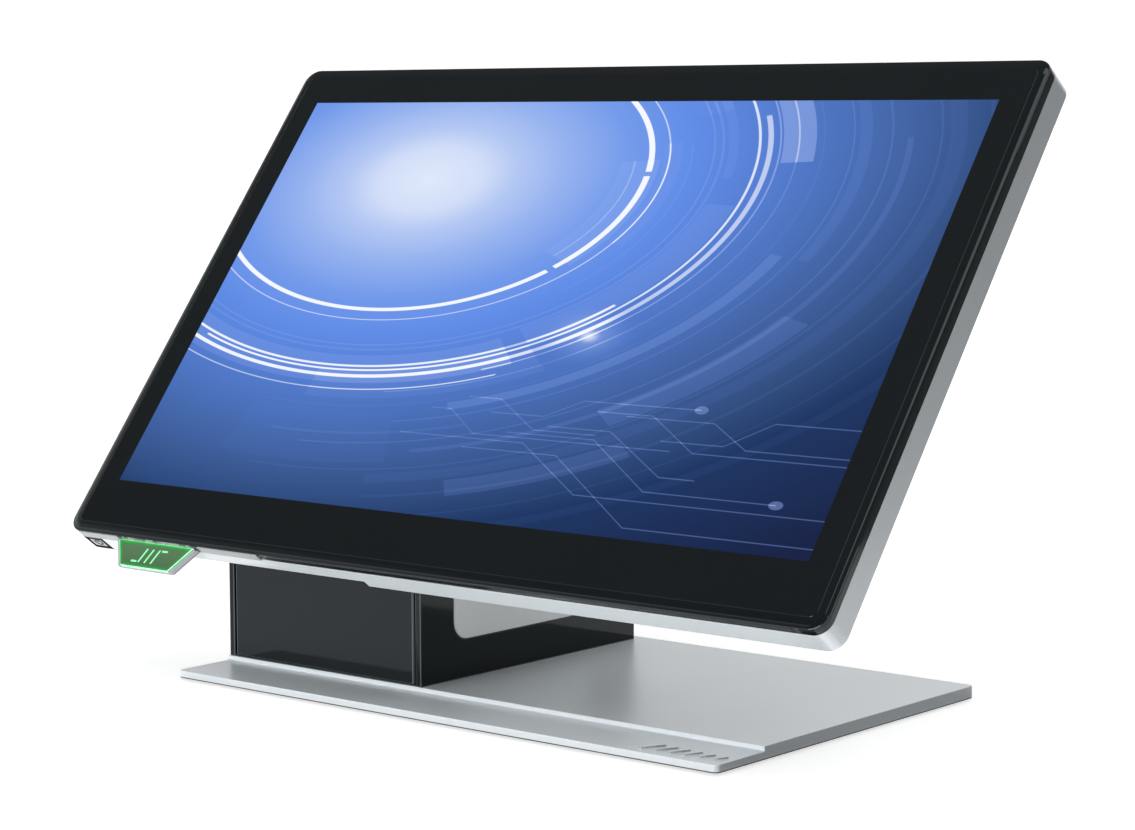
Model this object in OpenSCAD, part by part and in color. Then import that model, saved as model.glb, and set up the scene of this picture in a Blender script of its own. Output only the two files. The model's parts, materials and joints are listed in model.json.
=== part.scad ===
// All-in-one touch terminal: screen head, offset pedestal and base plate.
// Millimetres. Origin on the table under the centre of the base plate,
// +X to the viewer's right, +Y to the back, +Z up.

/* [Base plate] */
// Width of the base plate
base_w = 272; // [262:1:300]
// Depth of the base plate
base_d = 167; // [160:1:180]
// Thickness of the base plate
base_t = 4.9; // [4.5:0.1:7]
// Thickness of the low front lip
lip_t = 3; // [2.5:0.1:3.5]
// Depth of the front lip, up to the pedestal's face
lip_d = 28.2; // [26:0.1:29]
// Radius at the foot of the step behind the lip
riser_r = 0.6; // [0.3:0.1:1]
// Radius of the plate's corners in plan
base_r = 2.5; // [1:0.5:4]

/* [Pedestal] */
// Distance of the pedestal from the plate's left edge
ped_in = 1; // [0.5:0.5:3]
// Width of the pedestal
ped_w = 106.7; // [104:0.1:112]
// Depth of the pedestal
ped_d = 133.2; // [130:0.1:134]
// Height of the pedestal's top above the table
ped_top = 53; // [52:0.5:56]
// Distance from the pedestal's face to the side notch
notch_in = 19.5; // [18:0.5:22]
// Length of the side notch, front to back
notch_len = 84; // [82:1:86]
// Height of the notch's floor above the base plate
notch_rise = 15.5; // [14:0.5:16]
// Radius of the notch's lower corners
notch_r = 8; // [5:0.5:10]

/* [Screen head] */
// Lean of the screen back from vertical, in degrees
lean = 37.5; // [34:0.5:40]
// Width of the lit area
lit_w = 344.2; // [340:0.1:346]
// Height of the lit area
lit_h = 193.6; // [190:0.1:195]
// Black border at each side of the lit area
border_side = 15.8; // [15:0.1:18]
// Black border above the lit area
border_top = 18.5; // [17:0.1:20]
// Black border below the lit area
border_low = 24.7; // [24:0.1:27]
// Radius of the head's corners
head_r = 6.5; // [5:0.5:8]
// Depth of the black front part
black_t = 4.9; // [4.7:0.1:5.2]
// Depth of the rim, glass face to the back of the silver housing
rim_t = 15.4; // [15.2:0.1:17]
// Depth of the whole head at the rear cover
head_t = 38; // [37:0.5:40]
// Height of the lit area's centre above the table
screen_z = 155.2; // [154:0.1:158]
// Distance of the lit area's centre in front of the base's centre
screen_fwd = 21.8; // [18:0.1:24]

/* [Tilt hinge] */
// Distance of the hinge axis behind the base's centre
hinge_y = 26.5; // [24:0.5:30]
// Height of the hinge axis above the table
hinge_z = 104; // [102:0.5:106]
// Radius of the hinge shaft
shaft_r = 5; // [4:0.5:5]
// Radial running clearance of the shaft in the arm's bores
shaft_gap = 0.05; // [0.02:0.01:0.1]
// Radius of the arm's boss around the shaft
boss_r = 13; // [12:0.5:14]

/* [Light tab and power button] */
// Width of the light tab at its top
tab_top_w = 43.5; // [40:0.5:46]
// Width of the light tab at its bottom
tab_low_w = 27.7; // [24:0.1:32]
// Height of the light tab
tab_h = 11.5; // [10:0.5:13]
// Distance of the tab's middle to the left of the screen's middle
tab_left = 135.4; // [133:0.1:137]
// Width of the power button
button_w = 8.8; // [7:0.2:9.4]
// Depth of the power button, front to back
button_d = 6.6; // [6:0.1:7]
// Travel of the power button
button_travel = 0.8; // [0.4:0.1:1]

/* [Hidden] */
$fn = 48;
e = 0.5;                      // overshoot of a cutting tool
slip = 0.2;                   // gap between nested pieces

// Base and pedestal
foot_gap = 1;
base_top = foot_gap + base_t;
lip_top = foot_gap + lip_t;
mat_in = 7;
mat_pocket = 0.8;
ped_x0 = ped_in - base_w / 2;
ped_x1 = ped_x0 + ped_w;
ped_xm = (ped_x0 + ped_x1) / 2;
ped_y0 = lip_d - base_d / 2;
ped_y1 = ped_y0 + ped_d;
shell_t = 2.5;
face_t = 5;                   // front wall with the panel's recess
corner_t = 2.9;               // shell corner beside the panel
panel_gap = 0.9;
panel_t = 2.8;
panel_top = ped_top - 3;
notch_y0 = ped_y0 + notch_in;
notch_y1 = notch_y0 + notch_len;
notch_z = base_top + notch_rise;
cover_x0 = ped_x0 + 14;       // opening for the pedestal's back cover
cover_x1 = ped_x1 - 14;
cover_z0 = base_top + 4;
cover_z1 = ped_top - 7;
inlet_x = ped_xm + 14;
inlet_z = (cover_z0 + cover_z1) / 2;
inlet_w = 28;
inlet_h = 20.5;
socket_w = 24.4;
socket_h = 16.6;
socket_deep = 15;

// Arm
cheek_t = 5;
boss_in = 3;
arm_y0 = notch_y0 + slip;
arm_y1 = notch_y1 - slip;
arm_z0 = notch_z + slip;
arm_floor = 4;
arm_kink_f = 47;              // height where the front edge turns back
arm_kink_b = 58;              // height where the back edge turns forward
web_t = 3;
hinge = [hinge_y, hinge_z];

// Head, in its own axes: x along the screen, y depth behind the glass, z up the screen
head_x = lit_w / 2 + border_side;
head_hi = lit_h / 2 + border_top;
head_lo = -lit_h / 2 - border_low;
screen = [0, -screen_fwd, screen_z];
glass_t = 2;
bevel_w = 4.4;
bevel_n = 0.85;
wall_t = 2.2;
back_t = 2;
cavity_x = lit_w / 2 + 4.4;
cavity_z = lit_h / 2 + 6.2;
notch_u0 = -135;              // shallow step in the lower edge of the rim
notch_u1 = -28.4;
notch_n = 11.9;
notch_up = 9;
strip_u0 = head_r - head_x;
strip_u1 = -77.5;
strip_drop = 0.6;
insert_w = 3;
insert_u = [for (s = [-1, 1]) s * (tab_top_w / 2 + 0.2) - tab_left + 1];
window_u0 = insert_u[0] + insert_w / 2;
window_u1 = insert_u[1] - insert_w / 2;
tab_n = 2;
tab_t = 1.2;
holder_t = 1.4;
holder_side = 2;              // the holder shows this much beside the tab
holder_low = 0.2;
stem_x = 11.8;
tab_r = 1.6;
tab_z1 = head_lo - strip_drop;
tab_z0 = tab_z1 - tab_h;
button_u = -177.7;
button_n = 10.1;
ring_t = 1.3;
ring_deep = 3;
button_room = 7;              // pocket above the button in the back wall
bulge_x = 150;
bulge_lo = -94;
bulge_hi = 92;
bulge_r = 14;
bulge_in = 15;                // how much the bulge narrows towards its back
bulge_in_lo = 21;
bulge_round = 4;
screw_x = bulge_x - 24;       // screws of the rear cover
screw_z = [-58, 66];
post_r = 3.5;
bay_u0 = -18;
bay_u1 = 116;
bay_hi = -46;
bay_n = rim_t + 1.8;
chassis_n = 9.8;              // back of the steel chassis plate
board_n = 18.4;
board_t = 1.6;
port_n = board_n + board_t + 0.3;
port_face = bay_hi + 1.2;
rj_w = 15.8;
rj_h = 13.2;
rj_deep = 17;
rj_open_w = 11.8;
rj_open_h = 8.2;
usb_w = 13.2;
usb_h = 14.6;
usb_open_w = 12.2;
usb_open_h = 4.6;
lan_u = 4;
serial_u = [24, 42];
drawer_u = 60;
usb_u = [78, 95];
jack_u = 109.5;
jack_w = 9;
jack_h = 11;
board_u0 = -44;
board_u1 = 116;
board_hi = 70;
speaker_x = 104;

// Hinge parts between the arm's cheeks
lug_t = 8;
lug_x0 = ped_x0 + cheek_t + boss_in + 3.4;
lug_x1 = ped_x1 - cheek_t - boss_in - 3.4;
lug_r = 11;
plate_t = 3;
plate_lo = -38;
plate_hi = 16;
plate_screw_x = [lug_x0 + lug_t + 6, lug_x1 - lug_t - 6];
plate_screw_z = [plate_lo + 7, plate_hi - 7];
shaft_in = 1.4;               // shaft ends lie this deep inside the cheeks

function head_dy(p) = p[0] + screen_fwd;
function head_dz(p) = p[1] - screen_z;
function to_n(p) = head_dy(p) * cos(lean) - head_dz(p) * sin(lean);
function to_w(p) = head_dy(p) * sin(lean) + head_dz(p) * cos(lean);
hinge_n = to_n(hinge);
hinge_w = to_w(hinge);

// Where a line from p touches a circle: side 1 turns left, -1 turns right
function touch(p, c, r, side) =
  let (d = norm(c - p), a = atan2(c[1] - p[1], c[0] - p[0]) + side * asin(r / d),
       l = sqrt(d * d - r * r))
  p + l * [cos(a), sin(a)];

// Outline through points with a rounded corner at each, as [x, y, radius]
function corner(a, b, c, r, steps) =
  let (u = (a - b) / norm(a - b), v = (c - b) / norm(c - b), half = acos(u * v) / 2,
       m = b + (u + v) / norm(u + v) * r / sin(half), p = b + u * r / tan(half),
       q = b + v * r / tan(half), a0 = atan2(p[1] - m[1], p[0] - m[0]),
       a1 = atan2(q[1] - m[1], q[0] - m[0]), turn = (a1 - a0 + 540) % 360 - 180)
  [for (i = [0:steps]) m + r * [cos(a0 + turn * i / steps), sin(a0 + turn * i / steps)]];
function soft(pts, steps = 8) =
  let (n = len(pts))
  [for (i = [0:n - 1], p = pts[i][2] > 0
    ? corner([pts[(i + n - 1) % n][0], pts[(i + n - 1) % n][1]], [pts[i][0], pts[i][1]],
             [pts[(i + 1) % n][0], pts[(i + 1) % n][1]], pts[i][2], steps)
    : [[pts[i][0], pts[i][1]]]) p];

arm_front = touch([arm_y0, arm_kink_f], hinge, boss_r, 1);
arm_back = touch([arm_y1, arm_kink_b], hinge, boss_r, -1);
front_dir = (arm_front - [arm_y0, arm_kink_f]) / norm(arm_front - [arm_y0, arm_kink_f]);
back_dir = (arm_back - [arm_y1, arm_kink_b]) / norm(arm_back - [arm_y1, arm_kink_b]);

// ---- shared shapes ----

module box(x0, x1, y0, y1, z0, z1) {
  translate([x0, y0, z0]) cube([x1 - x0, y1 - y0, z1 - z0]);
}

// A y-z outline stretched along x
module along_x(x0, x1) {
  translate([x0, 0, 0]) rotate([90, 0, 90]) linear_extrude(x1 - x0) children();
}

// An x-z outline stretched along y
module along_y(y0, y1) {
  translate([0, y1, 0]) rotate([90, 0, 0]) linear_extrude(y1 - y0) children();
}

// A flat rectangle with round corners
module round_rect(x0, x1, y0, y1, r) {
  translate([x0 + r, y0]) square([x1 - x0 - 2 * r, y1 - y0]);
  translate([x0, y0 + r]) square([x1 - x0, y1 - y0 - 2 * r]);
  for (x = [x0 + r, x1 - r], y = [y0 + r, y1 - r]) translate([x, y]) circle(r);
}

module at_head() {
  translate(screen) rotate([-lean, 0, 0]) children();
}

// The head's outline, grown inwards by d, from depth n0 to n1
module head_slab(n0, n1, d = 0) {
  along_y(n0, n1) round_rect(d - head_x, head_x - d, head_lo + d, head_hi - d, head_r - min(d, head_r - 1));
}

// A screw along +Z with its head on top of z = 0
module screw(r, l, head_r, head_h) {
  translate([0, 0, -l]) cylinder(h = l + e, r = r);
  difference() {
    cylinder(h = head_h, r = head_r);
    translate([0, 0, head_h * 0.45]) cylinder(h = head_h, r = head_r * 0.5, $fn = 6);
  }
}

// ---- stand ----

foot_x = [ped_x0 + 18, ped_x1 - 18];
flange_y = [notch_y0 - 9, notch_y1 + 9];
arm_screw_y = [notch_y0 + 14, notch_y1 - 14];
foot_screw_r = 2;
foot_head_r = 4;

module base_plate() {
  color([0.78, 0.8, 0.81]) difference() {
    intersection() {
      along_x(-base_w / 2, base_w / 2) difference() {
        translate([-base_d / 2, foot_gap]) square([base_d, base_t]);
        translate([-base_d / 2 - e, lip_top]) square([lip_d - riser_r + e, base_t]);
        translate([-base_d / 2 - e, lip_top + riser_r]) square([lip_d + e, base_t]);
        translate([ped_y0 - riser_r, lip_top + riser_r]) circle(riser_r);
      }
      linear_extrude(base_top + 1) round_rect(-base_w / 2, base_w / 2, -base_d / 2, base_d / 2, base_r);
    }
    translate([0, 0, foot_gap - e]) linear_extrude(mat_pocket + e)
      round_rect(mat_in - base_w / 2, base_w / 2 - mat_in, mat_in - base_d / 2, base_d / 2 - mat_in, 4);
    for (x = foot_x, y = flange_y) {
      translate([x, y, 0]) cylinder(h = base_top + e, r = foot_screw_r + 0.2);
      translate([x, y, 0]) cylinder(h = foot_gap + mat_pocket + 2, r = foot_head_r + 0.2);
    }
  }
}

module anti_slip_mat() {
  color([0.1, 0.1, 0.1]) linear_extrude(foot_gap + mat_pocket) difference() {
    round_rect(mat_in + slip - base_w / 2, base_w / 2 - mat_in - slip,
               mat_in + slip - base_d / 2, base_d / 2 - mat_in - slip, 3.8);
    for (x = foot_x, y = flange_y) translate([x, y]) circle(foot_head_r + 1);
  }
}

module notch_outline(y0, y1, z0, z1, r) {
  polygon(soft([[y0, z0, r], [y1, z0, r], [y1, z1, 0], [y0, z1, 0]], 12));
}

module pedestal_shell() {
  color([0.06, 0.065, 0.07]) difference() {
    box(ped_x0, ped_x1, ped_y0, ped_y1, base_top, ped_top);
    box(ped_x0 + shell_t, ped_x1 - shell_t, ped_y0 + face_t, ped_y1 - shell_t, base_top - e,
        ped_top - shell_t);
    along_x(ped_x0 - e, ped_x1 + e) notch_outline(notch_y0, notch_y1, notch_z, ped_top + e, notch_r);
    box(ped_x0 + corner_t, ped_x1 - corner_t, ped_y0 - e, ped_y0 + panel_t + slip, base_top + 0.6,
        panel_top + slip);
    box(cover_x0, cover_x1, ped_y1 - shell_t - e, ped_y1 + e, cover_z0, cover_z1);
  }
}

module pedestal_front_panel() {
  chamfer = 0.5;
  color([0.16, 0.18, 0.185]) translate([0, 0, base_top + 0.8]) linear_extrude(panel_top - base_top - 0.8)
    polygon([
      [ped_x0 + corner_t + panel_gap, ped_y0 + panel_t], [ped_x1 - corner_t - panel_gap, ped_y0 + panel_t],
      [ped_x1 - corner_t - panel_gap, ped_y0 + chamfer], [ped_x1 - corner_t - panel_gap - chamfer, ped_y0],
      [ped_x0 + corner_t + panel_gap + chamfer, ped_y0], [ped_x0 + corner_t + panel_gap, ped_y0 + chamfer]
    ]);
}

module pedestal_back_cover() {
  slots = 7;
  color([0.1, 0.1, 0.11]) difference() {
    union() {
      box(cover_x0 + slip, cover_x1 - slip, ped_y1 - shell_t, ped_y1 - 0.3, cover_z0 + slip, cover_z1 - slip);
      box(cover_x0 - 3, cover_x1 + 3, ped_y1 - shell_t - 2, ped_y1 - shell_t, cover_z0 - 2.5, cover_z1 + 3);
    }
    box(inlet_x - inlet_w / 2, inlet_x + inlet_w / 2, ped_y1 - 6, ped_y1 + e,
        inlet_z - inlet_h / 2, inlet_z + inlet_h / 2);
    for (i = [0:slots - 1])
      box(cover_x0 + 8 + i * 4.6, cover_x0 + 10 + i * 4.6, ped_y1 - 6, ped_y1 + e, cover_z0 + 6,
          cover_z1 - 6);
  }
}

module mains_inlet() {
  face_y = ped_y1 - 0.3;
  deep = 19;
  color([0.07, 0.07, 0.07]) difference() {
    union() {
      box(inlet_x - inlet_w / 2 + slip, inlet_x + inlet_w / 2 - slip, face_y - deep, face_y,
          inlet_z - inlet_h / 2 + slip, inlet_z + inlet_h / 2 - slip);
      box(inlet_x - inlet_w / 2 - 1.5, inlet_x + inlet_w / 2 + 1.5, face_y, face_y + 1.2,
          inlet_z - inlet_h / 2 - 1.2, inlet_z + inlet_h / 2 + 1.2);
    }
    along_y(face_y - socket_deep, face_y + 2) polygon([
      [inlet_x - socket_w / 2, inlet_z - socket_h / 2], [inlet_x + socket_w / 2, inlet_z - socket_h / 2],
      [inlet_x + socket_w / 2, inlet_z + socket_h / 2 - 4], [inlet_x + socket_w / 2 - 4,
          inlet_z + socket_h / 2],
      [inlet_x - socket_w / 2 + 4, inlet_z + socket_h / 2], [inlet_x - socket_w / 2,
          inlet_z + socket_h / 2 - 4]
    ]);
  }
  color([0.75, 0.7, 0.55]) for (p = [[-7, -2], [7, -2], [0, 2.4]])
    box(inlet_x + p[0] - 1, inlet_x + p[0] + 1, face_y - socket_deep - 1, face_y - 3,
        inlet_z + p[1] - 2, inlet_z + p[1] + 2);
}

module foot_bracket() {
  sheet = 2;
  y0 = notch_y0 + 5;
  y1 = notch_y1 - 5;
  color([0.62, 0.64, 0.66]) difference() {
    along_x(foot_x[0] - 9, foot_x[1] + 9) union() {
      translate([y0, arm_z0 - sheet]) square([y1 - y0, sheet]);
      for (y = [y0, y1 - sheet]) translate([y, base_top]) square([sheet, arm_z0 - base_top]);
      translate([flange_y[0] - 5, base_top]) square([y0 - flange_y[0] + 5 + sheet, sheet]);
      translate([y1 - sheet, base_top]) square([flange_y[1] + 5 - y1 + sheet, sheet]);
    }
    for (x = foot_x, y = flange_y) translate([x, y, 0]) cylinder(h = base_top + sheet + e, r = foot_screw_r);
    for (x = foot_x, y = arm_screw_y) translate([x, y,
        arm_z0 - sheet - e]) cylinder(h = sheet + 2 * e, r = 2);
  }
}

module arm_outline() {
  polygon(soft([
    [arm_y0, arm_z0, notch_r - slip], [arm_y1, arm_z0, notch_r - slip], [arm_y1, arm_kink_b, 20],
    [arm_back[0], arm_back[1], 0], [hinge[0], hinge[1], 0], [arm_front[0], arm_front[1], 0],
    [arm_y0, arm_kink_f, 20]
  ], 12));
  translate(hinge) circle(boss_r);
}

module neck_arm() {
  web_end = [arm_y0, arm_kink_f] + front_dir * 40;
  web_side = [front_dir[1], -front_dir[0]];
  color([0.6, 0.63, 0.63]) difference() {
    union() {
      for (x = [ped_x0, ped_x1 - cheek_t]) along_x(x, x + cheek_t) arm_outline();
      for (x = [ped_x0 + cheek_t - e, ped_x1 - cheek_t - boss_in])
        translate([x, hinge[0], hinge[1]]) rotate([0, 90, 0]) cylinder(h = boss_in + e, r = boss_r - 1);
      box(ped_x0 + cheek_t - e, ped_x1 - cheek_t + e, arm_y0 + notch_r, arm_y1 - notch_r, arm_z0,
          arm_z0 + arm_floor);
      along_x(ped_x0 + cheek_t - e, ped_x1 - cheek_t + e) polygon([
        [arm_y0, arm_z0 + notch_r], [arm_y0 + notch_r, arm_z0], [arm_y0 + notch_r, arm_z0 + arm_floor],
        [arm_y0 + web_t, arm_z0 + notch_r + 1], [arm_y0 + web_t, arm_kink_f - 1],
        web_end + web_side * web_t, web_end, [arm_y0 + 0.8, arm_kink_f + 4.5], [arm_y0, arm_kink_f - 4]
      ]);
    }
    translate([ped_x0 - e, hinge[0], hinge[1]]) rotate([0, 90, 0])
      cylinder(h = ped_w + 2 * e, r = shaft_r + shaft_gap);
    for (x = [ped_x0 - e, ped_x1 - shaft_in]) translate([x, hinge[0], hinge[1]]) rotate([0, 90, 0])
      cylinder(h = shaft_in + e, r = boss_r - 4);
    for (x = foot_x, y = arm_screw_y) translate([x, y, arm_z0 - e]) cylinder(h = arm_floor + 2 * e, r = 2.1);
  }
}

module neck_back_cover() {
  t = 2.5;
  in = 0.6;
  x0 = ped_x0 + cheek_t + slip;
  x1 = ped_x1 - cheek_t - slip;
  top = arm_back - back_dir * 8;
  side = [back_dir[1], -back_dir[0]];
  color([0.5, 0.53, 0.53]) difference() {
    along_x(x0, x1) polygon(soft([
      [arm_y1 - in, arm_z0 + arm_floor + 3, 0], [arm_y1 - in, arm_kink_b, 20],
      [top[0] - side[0] * in, top[1] - side[1] * in, 0],
      [top[0] - side[0] * (in + t), top[1] - side[1] * (in + t), 0],
      [arm_y1 - in - t, arm_kink_b, 18], [arm_y1 - in - t, arm_z0 + arm_floor + 3, 0]
    ], 12));
    for (i = [-3:3]) box(ped_xm + i * 9 - 1.2, ped_xm + i * 9 + 1.2, hinge[0] - 8, arm_y1 + e,
        arm_kink_b + 8, arm_kink_b + 22);
  }
}

module power_supply() {
  z0 = arm_z0 + arm_floor + 1;
  x0 = ped_x0 + cheek_t + 5;
  x1 = ped_x1 - cheek_t - 5;
  y0 = arm_y0 + 12;
  y1 = arm_y1 - 8;
  color([0.66, 0.68, 0.7]) difference() {
    box(x0, x1, y0, y1, z0, z0 + 21);
    for (i = [0:8]) box(x0 + 12 + i * 8, x0 + 15 + i * 8, y0 + 12, y1 - 12, z0 + 18.5, z0 + 22);
  }
  color([0.1, 0.1, 0.1]) for (x = foot_x, y = [y0 + 8, y1 - 14])
    translate([x, y, arm_z0 + arm_floor]) cylinder(h = 1, r = 4);
}

module foot_screws() {
  color([0.3, 0.3, 0.32]) for (x = foot_x, y = flange_y)
    translate([x, y, foot_gap + mat_pocket + 2]) mirror([0, 0, 1]) screw(foot_screw_r, 6.6, foot_head_r, 2);
}

module arm_screws() {
  color([0.3, 0.3, 0.32]) for (x = foot_x, y = arm_screw_y)
    translate([x, y, arm_z0 - 2]) mirror([0, 0, 1]) screw(2, 5.6, 3.6, 2.2);
}

module friction_washers() {
  color([0.55, 0.5, 0.42]) for (x = [ped_x0 + cheek_t + boss_in + 0.1, lug_x1 + 0.1])
    for (i = [0:2]) translate([x + i * 1.1, hinge[0], hinge[1]]) rotate([0, 90, 0]) difference() {
      cylinder(h = 1, r = 9.5);
      translate([0, 0, -e]) cylinder(h = 1 + 2 * e, r = shaft_r + shaft_gap);
    }
}

module shaft_caps() {
  color([0.45, 0.48, 0.48]) for (x = [ped_x0 + 0.1, ped_x1 - 1.3])
    translate([x, hinge[0], hinge[1]]) rotate([0, 90, 0]) cylinder(h = 1.2, r = boss_r - 4.1);
}

// ---- head ----

module touch_glass() {
  color([0.03, 0.033, 0.036]) at_head() hull() {
    head_slab(0, 0.05, bevel_w, $fn = 32);
    head_slab(bevel_n, glass_t, $fn = 32);
  }
}

module bezel_frame() {
  color([0.05, 0.053, 0.056]) at_head() difference() {
    head_slab(glass_t, black_t);
    along_y(glass_t - e, black_t + e) round_rect(-cavity_x, cavity_x, -cavity_z, cavity_z, 2);
    box(strip_u0, strip_u1, glass_t - e, black_t + e, head_lo - e, head_lo + 1.6);
  }
}

module display_panel() {
  x = lit_w / 2 + 4;
  z = lit_h / 2 + 5.8;
  color([0.2, 0.35, 0.75]) at_head() box(-x, x, glass_t + 0.05, 8.6, -z, z);
}

module chassis_plate() {
  color([0.68, 0.7, 0.72]) at_head() difference() {
    box(-168, 168, chassis_n - 1, chassis_n, -106, 102);
    for (x = [-130, 130], z = [-60, 60]) along_y(8, 11) round_rect(x - 20, x + 20, z - 14, z + 14, 6);
    box(-168 - e, -140, 8, 11, -107, -96);
  }
}

module housing_notch(d) {
  box(notch_u0 - d, notch_u1 + d, notch_n - d, rim_t + e, head_lo - e, head_lo + notch_up + d);
}

module rear_housing() {
  color([0.76, 0.79, 0.81]) at_head() difference() {
    head_slab(black_t, rim_t);
    difference() {
      head_slab(black_t - e, rim_t - back_t, wall_t);
      housing_notch(1.8);
    }
    housing_notch(0);
    along_y(rim_t - back_t - e, rim_t + e)
      round_rect(32 - bulge_x, bulge_x - 32, bulge_lo + 8, bulge_hi - 8, bulge_r - 6);
    for (x = [-screw_x, screw_x], z = screw_z)
      translate([x, rim_t - back_t - e, z]) rotate([-90, 0, 0]) cylinder(h = back_t + 2 * e, r = 1.2);
    box(button_u - button_w / 2 - ring_t, button_u + button_w / 2 + ring_t,
        button_n - button_d / 2 - ring_t, button_n + button_d / 2 + ring_t, head_lo - e,
            head_lo + button_room);
    box(-tab_left - stem_x - slip, -tab_left + stem_x + slip, black_t + 1, black_t + 3,
        head_lo - e, head_lo + wall_t + e);
  }
}

// One layer of the bulge's outline: depth n, narrowed by the slope and by d more
module bulge_layer(n, d) {
  f = (n - rim_t) / (head_t - rim_t);
  along_y(n, n + 0.02) round_rect(
    -bulge_x + bulge_in * f + d, bulge_x - bulge_in * f - d,
    bulge_lo + bulge_in_lo * f + d, bulge_hi - bulge_in * f - d, bulge_r - min(d, 6) * 0.6, $fn = 32);
}

module bulge(back, d) {
  hull() {
    bulge_layer(rim_t + (d > 0 ? -e : 0), d);
    for (a = [0:18:90])
      bulge_layer(back - bulge_round + (bulge_round - 0.02) * sin(a), d + bulge_round * (1 - cos(a)));
  }
}

module rear_cover() {
  slots = 15;
  speaker_slots = 6;
  color([0.2, 0.21, 0.22]) at_head() difference() {
    bulge(head_t, 0);
    difference() {
      bulge(head_t - wall_t, wall_t);
      box(bay_u0 - wall_t, bay_u1 + wall_t, rim_t - 1, head_t, bulge_lo - e, bay_hi + wall_t);
      for (x = [-screw_x, screw_x], z = screw_z)
        translate([x, rim_t - 1, z]) rotate([-90, 0, 0]) cylinder(h = head_t, r = post_r);
    }
    box(bay_u0, bay_u1, bay_n, head_t + e, bulge_lo - e, bay_hi);
    box(bay_u0 + 3, bay_u1 - 2, board_n - 0.2, head_t - wall_t - 0.2, bay_hi - e, bay_hi + wall_t + e);
    for (i = [0:slots - 1]) box(-56 + i * 8 - 1.4, -56 + i * 8 + 1.4, head_t - wall_t - e,
        head_t + e, 36, 66);
    for (s = [-1, 1], i = [0:speaker_slots - 1])
      box(s * speaker_x - 13.5 + i * 5, s * speaker_x - 11.5 + i * 5, head_t - wall_t - e,
          head_t + e, 44, 62);
    for (x = plate_screw_x, z = plate_screw_z)
      translate([x, head_t - wall_t - e, z]) rotate([-90, 0, 0]) cylinder(h = wall_t + 2 * e, r = 2.2);
    for (x = [-screw_x, screw_x], z = screw_z) translate([x, rim_t - e, z]) rotate([-90, 0, 0]) {
      cylinder(h = head_t, r = 1.3);
      translate([0, 0, head_t - rim_t - 2 + e]) cylinder(h = 3, r = 2.8);
    }
  }
}

module strip_length(u0, u1) {
  at_head() along_x(u0, u1) polygon([
    [bevel_n + 0.1, head_lo - strip_drop], [black_t - 0.05, head_lo - strip_drop],
    [black_t - 0.05, head_lo + 1.4], [glass_t + 0.1, head_lo + 1.4],
    [glass_t + 0.1, head_lo - 0.05], [bevel_n + 0.1, head_lo - 0.05]
  ]);
}

module module_strip() {
  color([0.74, 0.76, 0.78]) difference() {
    union() {
      strip_length(strip_u0 + slip, window_u0 - 0.1);
      strip_length(window_u1 + 0.1, strip_u1 - slip);
    }
    at_head() for (u = insert_u)
      box(u - insert_w / 2, u + insert_w / 2, bevel_n - e, black_t + e, head_lo - strip_drop - e,
          head_lo - 0.05);
  }
}

module strip_window() {
  color([0.8, 0.86, 0.84, 0.7]) strip_length(window_u0, window_u1);
}

module strip_inserts() {
  color([0.25, 0.26, 0.27]) at_head() for (u = insert_u)
    box(u + 0.1 - insert_w / 2, u + insert_w / 2 - 0.1,
        bevel_n + 0.15, black_t - 0.1, head_lo - strip_drop + 0.1, head_lo - 0.1);
}

// The tab's outline, wider by side on both slopes and longer by low at the bottom
module tab_outline(side, low, z1) {
  slope = (tab_top_w - tab_low_w) / 2 / tab_h;
  x1 = tab_top_w / 2 + side;
  x0 = x1 - slope * (z1 - tab_z0);
  polygon(soft([
    [-tab_left - x1, z1, 0], [-tab_left - x0, tab_z0 - low, tab_r], [-tab_left + x0, tab_z0 - low, tab_r],
    [-tab_left + x1, z1, 0]
  ], 6));
}

module light_tab() {
  color([0.25, 0.75, 0.4, 0.8]) at_head() along_y(tab_n, tab_n + tab_t) tab_outline(0, 0, tab_z1 - 0.05);
}

module tab_holder() {
  plate_n = tab_n + tab_t;
  stem_n1 = black_t + 2.9;
  color([0.8, 0.82, 0.84]) at_head() {
    along_y(plate_n + 0.02, plate_n + holder_t) tab_outline(holder_side, holder_low, tab_z1 - 0.05);
    box(-tab_left - stem_x, -tab_left + stem_x, plate_n + 0.5, stem_n1, tab_z1 - 3, tab_z1 - 0.05);
    box(-tab_left - stem_x, -tab_left + stem_x, black_t + 1.1, stem_n1, tab_z1 - 3, head_lo + wall_t + 2);
  }
}

module light_board() {
  color([0.1, 0.35, 0.2]) at_head()
    box(-tab_left - 18, -tab_left + 18, black_t + 0.6, black_t + 2.2, head_lo + wall_t + 2.1,
        head_lo + wall_t + 9);
  color([0.85, 0.9, 0.7]) at_head() for (i = [-2:2])
    box(-tab_left + i * 7 - 1.4, -tab_left + i * 7 + 1.4, black_t + 0.1, black_t + 0.6,
        head_lo + wall_t + 2.6, head_lo + wall_t + 5.4);
}

module button_ring(d, z0, z1) {
  box(button_u - button_w / 2 - d, button_u + button_w / 2 + d, button_n - button_d / 2 - d,
      button_n + button_d / 2 + d, z0, z1);
}

module button_bezel() {
  color([0.04, 0.04, 0.04]) at_head() difference() {
    button_ring(ring_t - 0.05, head_lo + 0.1, head_lo + ring_deep);
    button_ring(0.15, head_lo - e, head_lo + ring_deep + e);
  }
}

module power_button() {
  color([0.72, 0.74, 0.76]) at_head() {
    button_ring(0, head_lo + 0.25, head_lo + ring_deep + 0.5);
    button_ring(0.8, head_lo + ring_deep + 0.1, head_lo + ring_deep + 1.2);
  }
}

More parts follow.
